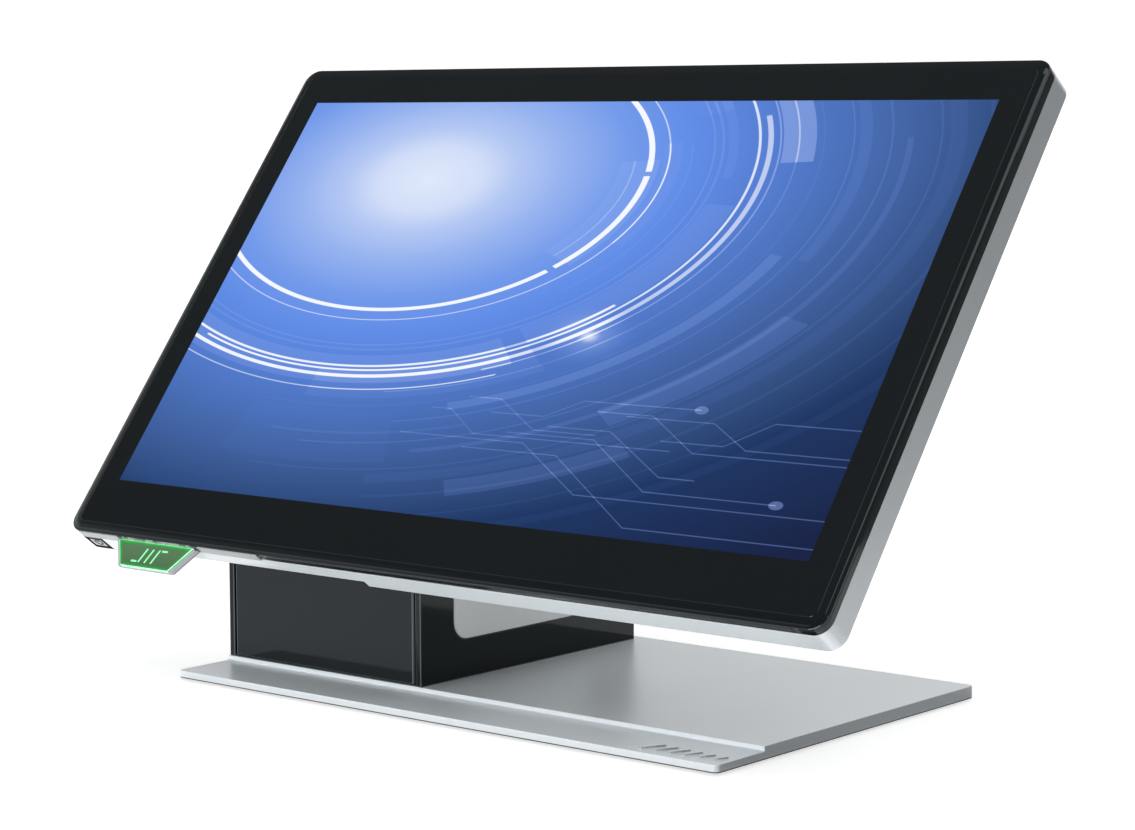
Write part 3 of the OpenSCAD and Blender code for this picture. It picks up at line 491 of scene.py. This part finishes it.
def wallpaper(width, height):
    """A blue glow with rings and thin traces, drawn by sums on the lit area's own map."""
    paint = Paint("look_screen_picture", Base_Color=(0.003, 0.003, 0.004), Roughness=0.07)
    split = paint.node("ShaderNodeSeparateXYZ")
    paint.link(paint.node("ShaderNodeTexCoord").outputs["UV"], split.inputs[0])
    u = (Sum(paint, split.outputs[0]) - 0.5) * width
    w = (Sum(paint, split.outputs[1]) - 0.5) * height
    x, y = (u - GLOW[0]) / STRETCH, w - GLOW[1]
    radius = (x * x + y * y).root()
    turn = y.work("ARCTAN2", x) * math.degrees(1)
    turn = turn - turn.rise(92, 92.1) * 360

    light = radius * 0
    for at, thick, strength, first, last in RINGS:
        ring = radius.within(at - thick / 2, at + thick / 2, EDGE)
        light = light.most(ring * turn.within(first, last, 0.3) * strength)
    for low, high, strength, first, last in BLOCKS:
        light = light + radius.within(low, high, EDGE) * turn.within(first, last, 0.1) * strength
    for start, level, bend, straight, slope, end in TRACES:
        line = (u - bend).kept(0, straight - bend) * slope + level
        light = light + (w - line).within(-0.22, 0.22, 0.14) * u.within(start, end, 0.2) * 0.26
    for at_u, at_w in DOTS:
        du, dw = (u - at_u) / STRETCH, w - at_w
        light = light + (du * du + dw * dw).root().rise(1.6, 1.9, 0.32, 0.0)

    flare_u, flare_w = (u - 36) / STRETCH, w + 14
    flare = (flare_u * flare_u + flare_w * flare_w).root()
    light = light + flare.rise(0, 15, 0.42, 0.0) + flare.rise(0, 4, 0.4, 0.0)

    reach = SKY[-1][0]
    sky = paint.ramp((radius / reach).socket, *[(at / reach, colour) for at, colour in SKY])
    dusk = (u * 0.6 - w).rise(-20, 170, 1.0, 0.8)
    sky = paint.blend(1.0, sky, grey_of(paint, dusk), "MULTIPLY")
    light = light.kept(0, 1).socket
    tint = paint.ramp(light, (0.0, srgb(96, 138, 230)), (0.4, srgb(150, 178, 240)),
                      (0.9, srgb(244, 247, 255)))
    drawn = paint.blend(light, sky, tint)
    paint.set("Emission Color", drawn)
    paint.set("Emission Strength", 1.0)
    return paint.material


def grey_of(paint, number):
    made = paint.node("ShaderNodeCombineColor")
    for socket in made.inputs:
        paint.link(number.socket, socket)
    return made.outputs[0]


# ---- pieces made here ----

CORNER_STEPS = 10
RIM_ACROSS, RIM_ALONG = 4 * MM, 5.8 * MM    # the display module's rim beside and above its lit area


def outline(left, right, low, high, radius):
    """Corner points of a rounded rectangle, from the low right corner round to the left."""
    points = []
    for corner, (x, z) in enumerate(((right - radius, low + radius), (right - radius, high - radius),
                                     (left + radius, high - radius), (left + radius, low + radius))):
        for i in range(CORNER_STEPS + 1):
            turn = math.radians(-90 + 90 * corner + 90 * i / CORNER_STEPS)
            points.append((x + radius * math.cos(turn), z + radius * math.sin(turn)))
    return points


def ring_of(bm, points, depth):
    return [bm.verts.new((x, depth, z)) for x, z in points]


def bridge(bm, first, second):
    count = len(first)
    for i in range(count):
        j = (i + 1) % count
        bm.faces.new((first[i], first[j], second[j], second[i]))


def front_glass(black, picture):
    """The touch glass: printed black border, ground edge and the lit area, in one sheet."""
    right = head_span("touch_glass", 0)[1]
    low, high = head_span("touch_glass", 2)
    thick = head_span("touch_glass", 1)[1]
    lit_x = head_span("display_panel", 0)[1] - RIM_ACROSS
    lit_z = head_span("display_panel", 2)[1] - RIM_ALONG
    ground, corner = 4.4 * MM, 6.5 * MM
    edge = 0.85 * MM
    steps = (                       # depth, inset, corner radius: three ground facets with eased ridges
        (0, ground, corner - ground * 0.8), (0.05 * MM, ground - 0.12 * MM, corner - ground * 0.78),
        (0.24 * MM, 2.85 * MM, corner - 2.2 * MM), (0.27 * MM, 2.7 * MM, corner - 2.1 * MM),
        (0.5 * MM, 1.5 * MM, corner - 1.2 * MM), (0.56 * MM, 1.36 * MM, corner - 1.1 * MM),
        (edge - 0.06 * MM, 0.3 * MM, corner - 0.25 * MM), (edge + 0.08 * MM, 0.05 * MM, corner),
        (edge + 0.3 * MM, 0, corner), (thick - 0.1 * MM, 0, corner), (thick, 0.12 * MM, corner),
    )
    bm = bmesh.new()
    rings = [ring_of(bm, outline(-right + d, right - d, low + d, high - d, r), n) for n, d, r in steps]
    for first, second in zip(rings, rings[1:]):
        bridge(bm, first, second)
    bm.faces.new(rings[-1])
    front = rings[0]
    lit = ring_of(bm, ((lit_x, -lit_z), (lit_x, lit_z), (-lit_x, lit_z), (-lit_x, -lit_z)), 0)
    side = CORNER_STEPS + 1
    middle = CORNER_STEPS // 2
    for i in range(4):
        start, end = i * side + middle, (i + 1) * side + middle
        border = [front[k % len(front)] for k in range(start, end + 1)]
        bm.faces.new([*border, lit[(i + 1) % 4], lit[i]])
    picture_face = bm.faces.new(lit)
    picture_face.material_index = 1
    map_uv(bm, (-lit_x, lit_x), (-lit_z, lit_z))
    mesh = mesh_of(bm, "front_glass", 12)
    return piece("front_glass", mesh, "head", black, picture, place=HEAD, stands_for=("touch_glass",),
                 slot=slot_of("touch_glass"))


def map_uv(bm, across, along):
    """Lays the head's u and w on the map: 0 to 1 over the two given spans."""
    layer = bm.loops.layers.uv.new("UVMap")
    for face in bm.faces:
        for loop in face.loops:
            place = loop.vert.co
            loop[layer].uv = ((place.x - across[0]) / (across[1] - across[0]),
                              (place.z - along[0]) / (along[1] - along[0]))


def fill_shape(name, material, body, loops, low, high, place):
    """Solid plates from closed outlines of (x, z) points, from depth low to high."""
    bm = bmesh.new()
    for points in loops:
        front, back = ring_of(bm, points, low), ring_of(bm, points, high)
        bridge(bm, front, back)
        bm.faces.new(front)
        bm.faces.new(list(reversed(back)))
    return piece(name, mesh_of(bm, name), body, material, place=place)


def lit_tab(face, edge, holder):
    """The light tab: a clear plate whose left and lower edges glow, the others covered by its holder."""
    made = rounded("light_tab", face, 0.22 * MM)
    for material in (edge, holder):
        made.data.materials.append(material)
    inward = HEAD.inverted().to_3x3()
    for polygon in made.data.polygons:
        across, deep, high = inward @ polygon.normal
        if abs(deep) < 0.7:
            polygon.material_index = 2 if across > 0.5 or high > 0.5 else 1
    made.modifiers["rounded edges"].material = 1
    return made


def tab_strokes(material):
    """Generic lit strokes on the tab's face, in place of lettering."""
    left, right = head_span("light_tab", 0)
    low, high = head_span("light_tab", 2)
    face = head_span("light_tab", 1)[0]
    middle, size = (left + right) / 2, (high - low) * 0.25
    pitch, lean, thick = 3.6 * MM, 0.9 * MM, 0.42 * MM
    mid_z = (low + high) / 2 - 0.3 * MM
    bottom, top = mid_z - size, mid_z + size
    strokes = [((i - 1) * pitch - lean, bottom, (i - 1) * pitch + lean, top) for i in range(3)]
    strokes.append((-8.6 * MM, bottom, -6 * MM, bottom))
    strokes.append((6.2 * MM, top, 8.8 * MM, top))
    loops = []
    for x0, z0, x1, z1 in strokes:
        loops.append(capsule(Vector((middle + x0, z0)), Vector((middle + x1, z1)), thick))
    fill_shape("tab_strokes", material, "head", loops, face - 0.04 * MM, face + 0.02 * MM, HEAD)


def capsule(start, end, radius, steps=6):
    """A straight stroke with round ends, as outline points."""
    along = math.atan2(end.y - start.y, end.x - start.x)
    points = []
    for centre, first in ((end, -90), (start, 90)):
        for i in range(steps + 1):
            turn = along + math.radians(first + 180 * i / steps)
            points.append((centre.x + radius * math.cos(turn), centre.y + radius * math.sin(turn)))
    return points


def arc_band(middle, radius, half, first, last, steps=22):
    """Part of a ring as outline points, angles in degrees."""
    turns = [math.radians(first + (last - first) * i / steps) for i in range(steps + 1)]
    outer, inner = [[(middle.x + reach * math.cos(a), middle.y + reach * math.sin(a)) for a in turns]
                    for reach in (radius + half, radius - half)]
    return outer + inner[::-1]


TAB_SLOPE = 7.9 / 11.5          # how far each side of the tab leans in, for its height
TAB_SQUARE = 1 / math.hypot(1, TAB_SLOPE)


def along(paint, axis):
    """How far the shaded point lies along a direction of the part's frame, in millimetres."""
    made = paint.node("ShaderNodeVectorMath", operation="DOT_PRODUCT")
    paint.link(paint.place, made.inputs[0])
    made.inputs[1].default_value = axis
    return Sum(paint, made.outputs["Value"]) / MM


def power_symbol(material):
    """The usual printed broken ring and bar on the button's lower face, and painted shade on two sides of
    it, for the gap round the button.
    """
    low = head_span("power_button", 2)[0]
    places = [HEAD.inverted() @ v.co for v in NODES["power_button"].data.vertices]
    face = [place for place in places if place.z < low + 0.1 * MM]
    left, right = min(place.x for place in face), max(place.x for place in face)
    front, back = min(place.y for place in face), max(place.y for place in face)
    middle = Vector(((left + right) / 2, (front + back) / 2 + 0.1 * MM))
    ring = arc_band(middle, 1.8 * MM, 0.32 * MM, -60, 240)
    bar = capsule(middle + Vector((0, -2.3 * MM)), middle + Vector((0, -0.5 * MM)), 0.32 * MM)
    facing_down = Matrix(((1, 0, 0, 0), (0, 0, 1, 0), (0, -1, 0, 0), (0, 0, 0, 1)))
    lying = HEAD @ Matrix.Translation((0, 0, low)) @ facing_down
    fill_shape("power_symbol", material, "button", [ring, bar], -0.03 * MM, 0.06 * MM, lying)
    # Painted shade: dark bands along the front and right edges of the button's face, where the gap round it
    # is shaded.
    inset, band = 0.3 * MM, 1.0 * MM
    left, right, front, back = left + inset, right - inset, front + inset, back - inset
    rows = [(left, right, front, front + band), (right - band, right, front + band, back)]
    bars = [[(x0, y0), (x1, y0), (x1, y1), (x0, y1)] for x0, x1, y0, y1 in rows]
    fill_shape("button_painted_shade", material, "button", bars, -0.02 * MM, 0.06 * MM, lying)


def box_into(bm, low, high):
    """A plain box between two corners, for the many small pins."""
    made = bmesh.ops.create_cube(bm, size=1)["verts"]
    size = [b - a for a, b in zip(low, high)]
    bmesh.ops.scale(bm, vec=size, verts=made)
    bmesh.ops.translate(bm, vec=[(a + b) / 2 for a, b in zip(low, high)], verts=made)


JACK_WIDTH = 15.8 * MM
WIRE_PITCH, WIRE_HALF = 1.02 * MM, 0.2 * MM


def jack_contacts(gold):
    """Eight sprung wires in each modular jack."""
    bm = bmesh.new()
    places = []
    for node, count in (("network_socket", 1), ("serial_sockets", 2), ("drawer_socket", 1)):
        left, right = head_span(node, 0)
        for i in range(count):
            middle = (left + JACK_WIDTH / 2) if i == 0 else (right - JACK_WIDTH / 2)
            places.append((middle, head_span(node, 1)[0], head_span(node, 2)[0]))
    for u, n, w in places:
        for i in range(8):
            x0 = u + (i - 3.5) * WIRE_PITCH - WIRE_HALF
            x1 = u + (i - 3.5) * WIRE_PITCH + WIRE_HALF
            box_into(bm, (x0, n + 2.1 * MM, w + 2.5 * MM), (x1, n + 2.6 * MM, w + 12 * MM))
            box_into(bm, (x0, n + 2.6 * MM, w + 9 * MM), (x1, n + 5.4 * MM, w + 9.4 * MM))
    piece("jack_contacts", mesh_of(bm, "jack_contacts"), "head", gold, place=HEAD)


# ---- finishes ----

# The base's aluminium is painted dark below 1.45 mm: painted shade along its lower edge.
aluminium = blasted_metal("look_aluminium", (0.76, 0.81, 0.84), 0.34, 0.2, 1.45 * MM)
arm_metal = blasted_metal("look_arm_grey", (0.94, 0.96, 0.96), 0.5, 0.05)
# The housing's downward faces are painted 1.4 times lighter: painted light from below.
silver = flake_paint("look_housing_silver", (0.52, 0.555, 0.575), painted_underlight=1.4)
strip_silver = flake_paint("look_strip_silver", (0.38, 0.395, 0.4), 0.38)
holder_silver = flake_paint("look_holder_silver", (0.4, 0.4, 0.43), 0.4)
mark_metal = cut_metal("look_lip_mark", (0.5, 0.52, 0.54), 0.2, (30, 30, 1))
shell_black = gloss_plastic("look_shell_black", (0.0016, 0.0024, 0.0028), 0.05, 0.3)
panel_black = gloss_plastic("look_panel_black", (0.003, 0.0045, 0.0055), 0.045, 0.3)
bezel_black = gloss_plastic("look_bezel_black", (0.004, 0.006, 0.007), 0.09, 0.5)
# Painted highlight: a lighter black for the rounded edges of the pedestal shell and its front panel.
painted_edge_highlight = gloss_plastic("look_edge_painted_highlight", (0.06, 0.068, 0.072), 0.16, 0.7)
frame_black = moulded_plastic("look_frame_black", (0.002, 0.002, 0.0022), 0.6, 5000, 0.00002, 0.02)
glass_black = gloss_plastic("look_glass_black", (0.0045, 0.0062, 0.007), 0.03, 0.45, 0.15)
cover_graphite = moulded_plastic("look_cover_graphite", (0.028, 0.029, 0.031), 0.46)
cover_black = moulded_plastic("look_cover_black", (0.012, 0.012, 0.013), 0.42)
cover_grey = moulded_plastic("look_cover_grey", (0.2, 0.21, 0.21), 0.48)
inlet_black = moulded_plastic("look_inlet_black", (0.01, 0.01, 0.01), 0.4)
chip_black = moulded_plastic("look_chip_black", (0.012, 0.012, 0.013), 0.4, 5000, 0.00002)
insert_grey = moulded_plastic("look_insert_grey", (0.05, 0.052, 0.055), 0.45)
mat_rubber = rubber("look_mat_rubber")
steel = cut_metal("look_steel_sheet", (0.55, 0.56, 0.57), 0.34, (60, 1, 60))
shaft_steel = cut_metal("look_shaft_steel", (0.56, 0.57, 0.58), 0.22, (1, 40, 40))
sleeve_dark = cut_metal("look_sleeve_dark", (0.06, 0.062, 0.066), 0.4, (1, 40, 40))
screw_dark = cut_metal("look_screw_dark", (0.09, 0.09, 0.095), 0.35, (30, 30, 1))
bronze = cut_metal("look_washer_bronze", (0.42, 0.3, 0.15), 0.35, (1, 40, 40))
shield = cut_metal("look_socket_shield", (0.58, 0.59, 0.6), 0.26, (40, 1, 1))
gold = cut_metal("look_contact_gold", (0.75, 0.52, 0.2), 0.25, (40, 1, 1))
case_steel = cut_metal("look_supply_case", (0.52, 0.53, 0.54), 0.4, (1, 50, 50))
sink_metal = cut_metal("look_heat_sink", (0.5, 0.51, 0.52), 0.38, (1, 50, 50))
board_green = circuit_board("look_board_green")
button_silver = flake_paint("look_button_silver", (0.36, 0.375, 0.385), 0.3)


def tab_finishes():
    """Green lit acrylic: a dull face whose rim glows, cut edges that glow brighter, and lit strokes."""
    face = Paint("look_tab_face", Base_Color=(0.03, 0.05, 0.032), Roughness=0.12)
    u, w = [along(face, axis) for axis in (RIGHT, UP)]
    left, right = [x / MM for x in span("light_tab", RIGHT)]
    low, high = [x / MM for x in span("light_tab", UP)]
    lean = (w - high) * TAB_SLOPE
    inside = (w - low).work("MINIMUM", (w - high) * -1)
    for side in (u - left + lean, (u - right) * -1 + lean):
        inside = inside.work("MINIMUM", side * TAB_SQUARE)
    rim = face.ramp((inside / 2.4).socket, (0.0, srgb(120, 250, 160)), (0.08, srgb(20, 232, 90)),
                    (0.2, srgb(0, 214, 60)), (0.42, srgb(30, 160, 62)), (0.7, srgb(78, 118, 76)))
    mottled = face.noise(120, 3)
    lower = (w - low).rise(0, high - low, 0.72, 1.0)
    glow = face.blend(1.0, rim, grey_of(face, lower), "MULTIPLY")
    face.set("Emission Color", face.blend(face.spread(mottled, 0, 0.25), glow, srgb(70, 106, 70)))
    face.set("Emission Strength", 0.85)
    edge = Paint("look_tab_edge", Base_Color=(0.3, 0.8, 0.45), Roughness=0.2)
    hot = edge.noise(300, 2)
    edge.set("Emission Color", edge.ramp(hot, (0.3, srgb(80, 225, 125)), (0.62, srgb(205, 250, 220))))
    edge.set("Emission Strength", 0.9)
    stroke = Paint("look_tab_stroke", Base_Color=(0.1, 0.3, 0.17), Roughness=0.3)
    uneven = stroke.noise(400, 2)
    stroke.set("Emission Color", stroke.ramp(uneven, (0.3, srgb(120, 240, 150)), (0.7, srgb(145, 252, 175))))
    stroke.set("Emission Strength", 0.95)
    return face.material, edge.material, stroke.material


def lip_mark(material):
    """Six raised slanting strokes near the right end of the base's front lip, in place of a name."""
    front = span("base_plate", Vector((0, 1, 0)))[0]
    top = max(v.co.z for v in NODES["base_plate"].data.vertices if v.co.y < front + 1.5 * MM)
    right = span("base_plate", RIGHT)[1]
    loops = []
    for i in range(6):
        middle = Vector((right - (35 - 6 * i) * MM, -front - 9 * MM))
        reach = (4.2 - 0.4 * i) * MM
        slant = Vector((0.5 * reach, -reach))
        loops.append(capsule(middle - slant, middle + slant, 0.55 * MM))
    facing_up = Matrix(((1, 0, 0, 0), (0, 0, -1, 0), (0, 1, 0, 0), (0, 0, 0, 1)))
    flat = Matrix.Translation((0, 0, top)) @ facing_up
    fill_shape("lip_mark", material, "stand", loops, -0.02 * MM, 0.6 * MM, flat)


def clear_strip():
    """The frosted window over the tab's lights, with their dim shapes behind it."""
    paint = Paint("look_strip_window", Roughness=0.22, Coat_Weight=0.4)
    behind = paint.cells(230, paint.scaled((1, 0.5, 0.5)), output="Color")
    shapes = paint.node("ShaderNodeSeparateColor")
    paint.link(behind, shapes.inputs["Color"])
    tone = paint.ramp(shapes.outputs[0], (0.2, (0.3, 0.33, 0.32)), (0.5, (0.22, 0.25, 0.25)),
                      (0.7, (0.07, 0.09, 0.09)))
    paint.set("Base Color", paint.blend(paint.spread(paint.noise(500, 3), 0, 0.2), tone, (0.36, 0.42, 0.39)))
    return paint.material


LIT_RIMS = ((0, RIM_ACROSS), (2, RIM_ALONG))
LIT_SIZE = [(head_span("display_panel", axis)[1] - rim) * 2 / MM for axis, rim in LIT_RIMS]
front_glass(glass_black, wallpaper(*LIT_SIZE))
tab_face, tab_edge, tab_stroke = tab_finishes()
lit_tab(tab_face, tab_edge, holder_silver)
tab_strokes(tab_stroke)
power_symbol(frame_black)
jack_contacts(gold)
lip_mark(mark_metal)

# CAD nodes that show, with their edges rounded: finish, radius in millimetres and steps of the round
SHOWN = {
    "base_plate": (aluminium, 0.4, 3), "anti_slip_mat": (mat_rubber, 0.25, 2),
    "pedestal_shell": (shell_black, 0.45, 3), "pedestal_front_panel": (panel_black, 0.3, 2),
    "pedestal_back_cover": (cover_black, 0.3, 2), "mains_inlet": (inlet_black, 0.3, 2),
    "neck_arm": (arm_metal, 0.5, 3), "neck_back_cover": (cover_grey, 0.4, 2),
    "shaft_caps": (cover_grey, 0.3, 2), "bezel_frame": (bezel_black, 0.22, 2),
    "rear_housing": (silver, 0.55, 3), "rear_cover": (cover_graphite, 0.3, 2),
    "module_strip": (strip_silver, 0.12, 2), "strip_inserts": (insert_grey, 0.1, 2),
    "strip_window": (clear_strip(), 0.12, 2), "tab_holder": (holder_silver, 0.25, 2),
    "button_bezel": (frame_black, 0.12, 2), "power_button": (button_silver, 0.25, 2),
    "connector_plate": (shield, 0.1, 1), "network_socket": (shield, 0.2, 2),
    "serial_sockets": (chip_black, 0.2, 2), "usb_sockets": (shield, 0.15, 1),
    "drawer_socket": (chip_black, 0.2, 2), "power_jack": (chip_black, 0.2, 2),
    "hinge_bracket": (steel, 0.4, 2), "hinge_shaft": (shaft_steel, 0.4, 2),
    "hinge_sleeve": (sleeve_dark, 0.4, 2), "bracket_screws": (screw_dark, 0.15, 2),
    "cover_screws": (screw_dark, 0.12, 2), "friction_washers": (bronze, 0.12, 2),
    "foot_screws": (screw_dark, 0.15, 2),
}
for node, (finish, radius, steps) in SHOWN.items():
    rounded(node, finish, radius * MM, steps)
# Painted highlight lines along the rounded edges of these two nodes.
for node in ("pedestal_shell", "pedestal_front_panel"):
    paint_edge_highlight(node, painted_edge_highlight)
# Painted shade: the button's side walls are coloured black, so that the gap round it reads dark.
side_finish("power_button", frame_black, -UP)

# CAD nodes inside the casings keep their meshes
INNER = {
    "foot_bracket": steel, "power_supply": case_steel, "arm_screws": screw_dark,
    "display_panel": case_steel, "chassis_plate": steel, "light_board": board_green,
    "button_board": board_green, "mainboard": board_green, "processor": chip_black,
    "heat_sink": sink_metal, "memory_module": board_green, "drive_module": board_green,
    "touch_controller": board_green, "speakers": chip_black, "backing_plate": steel,
}
for node, finish in INNER.items():
    give_finish(node, finish)

# ---- floor, light and camera ----


def floor():
    """A wide pale floor that glows a little, so that it stays white round the object."""
    bm = bmesh.new()
    bmesh.ops.create_grid(bm, x_segments=1, y_segments=1, size=30)
    mesh = bpy.data.meshes.new("floor")
    bm.to_mesh(mesh)
    bm.free()
    made = bpy.data.objects.new("floor", mesh)
    bpy.context.scene.collection.objects.link(made)
    paint = Paint("look_floor", Roughness=0.7, Specular_IOR_Level=0.1)
    clouds = paint.spread(paint.noise(3, 3), 0, 0.3)
    paint.set("Base Color", paint.blend(clouds, (0.6, 0.6, 0.6), (0.58, 0.585, 0.59)))
    paint.set("Emission Color", (1, 1, 1))
    paint.set("Emission Strength", 0.65)
    mesh.materials.append(paint.material)


def sky():
    """Pale surroundings: white at the horizon, darker overhead, as between studio lights."""
    world = bpy.data.worlds.new("studio")
    bpy.context.scene.world = world
    world.use_nodes = True
    tree = world.node_tree
    place = tree.nodes.new("ShaderNodeTexCoord").outputs["Generated"]
    split = tree.nodes.new("ShaderNodeSeparateXYZ")
    tree.links.new(place, split.inputs[0])
    ramp = tree.nodes.new("ShaderNodeValToRGB")
    ramp.color_ramp.interpolation = "EASE"
    stops = ((0.0, 1.0), (0.26, 1.0), (0.52, 0.1), (0.85, 0.16))
    line = ramp.color_ramp.elements
    while len(line) < len(stops):
        line.new(0.5)
    for element, (at, value) in zip(line, stops):
        element.position = at
        element.color = (value, value, value, 1)
    tree.links.new(split.outputs[2], ramp.inputs["Fac"])
    tree.links.new(ramp.outputs["Color"], tree.nodes["Background"].inputs["Color"])
    tree.nodes["Background"].inputs["Strength"].default_value = 1.05


def sun(name, azimuth, elevation, strength, width):
    """A wide soft light from far away, angles in degrees."""
    lamp = bpy.data.lights.new(name, "SUN")
    lamp.energy = strength
    lamp.angle = math.radians(width)
    made = bpy.data.objects.new(name, lamp)
    bpy.context.scene.collection.objects.link(made)
    made.rotation_euler = Euler((math.radians(90 - elevation), 0, math.radians(azimuth)))


def strip_light(name, place, width, height, watts):
    """An upright softbox that faces the object, for lines of light along its edges."""
    lamp = bpy.data.lights.new(name, "AREA")
    lamp.shape = "RECTANGLE"
    lamp.size, lamp.size_y = width, height
    lamp.energy = watts
    made = bpy.data.objects.new(name, lamp)
    lamp.color = (0.88, 0.96, 1.0)
    made.location = place
    made.rotation_euler = (Vector((0, 0, 0.1)) - Vector(place)).to_track_quat("-Z", "Y").to_euler()
    made.visible_diffuse = False
    bpy.context.scene.collection.objects.link(made)


CAMERA_PLACE = HEAD.translation + Vector((0.72203, -0.84472, 0.07441))
CAMERA_TURN = (83.926, 0.192, 39.778)    # degrees
LENS = 91.607                            # millimetres, on film 36 mm wide


def camera():
    lens = bpy.data.cameras.new("camera")
    lens.lens = LENS
    lens.sensor_width = 36
    lens.clip_end = 100
    made = bpy.data.objects.new("camera", lens)
    made.location = CAMERA_PLACE
    made.rotation_euler = Euler([math.radians(a) for a in CAMERA_TURN])
    bpy.context.scene.collection.objects.link(made)
    bpy.context.scene.camera = made


def dark_card(name, tone, corners):
    """A flat dark card that only reflections and bounced light see, and only from its front."""
    mesh = bpy.data.meshes.new(name)
    mesh.from_pydata(corners, [], [range(4)])
    made = bpy.data.objects.new(name, mesh)
    bpy.context.scene.collection.objects.link(made)
    paint = Paint("look_" + name, Base_Color=(tone, tone, tone), Roughness=0.9)
    behind = paint.node("ShaderNodeNewGeometry").outputs["Backfacing"]
    paint.set("Alpha", paint.math("SUBTRACT", 1.0, behind))
    mesh.materials.append(paint.material)
    for ray in ("camera", "transmission", "volume_scatter", "shadow"):
        setattr(made, "visible_" + ray, False)


def floor_card(name, tone, x0, x1, y0, y1):
    """A dark card just over the floor, for the faces that stand beside it."""
    over = 0.4 * MM
    dark_card(name, tone, [(x0, y0, over), (x1, y0, over), (x1, y1, over), (x0, y1, over)])


floor()
sky()
dark_card("right_card", 0.2, [(0.46, -0.5, 0), (0.46, -0.5, 1.0), (0.46, 2.2, 1.0), (0.46, 2.2, 0)])
floor_card("side_floor_card", 0.02, 0.137, 0.175, -0.09, 0.1)
floor_card("front_floor_card", 0.4, -0.137, 0.137, -0.0935, -0.0845)
sun("high_softbox", 60, 68, 1.3, 60)
sun("back_softbox", 170, 55, 0.7, 60)
sun("front_softbox", -8, 8, 2.0, 40)
strip_light("strip_softbox", (1.1, -0.42, 0.35), 0.3, 0.9, 7)
camera()
bpy.context.scene.view_settings.view_transform = "Standard"
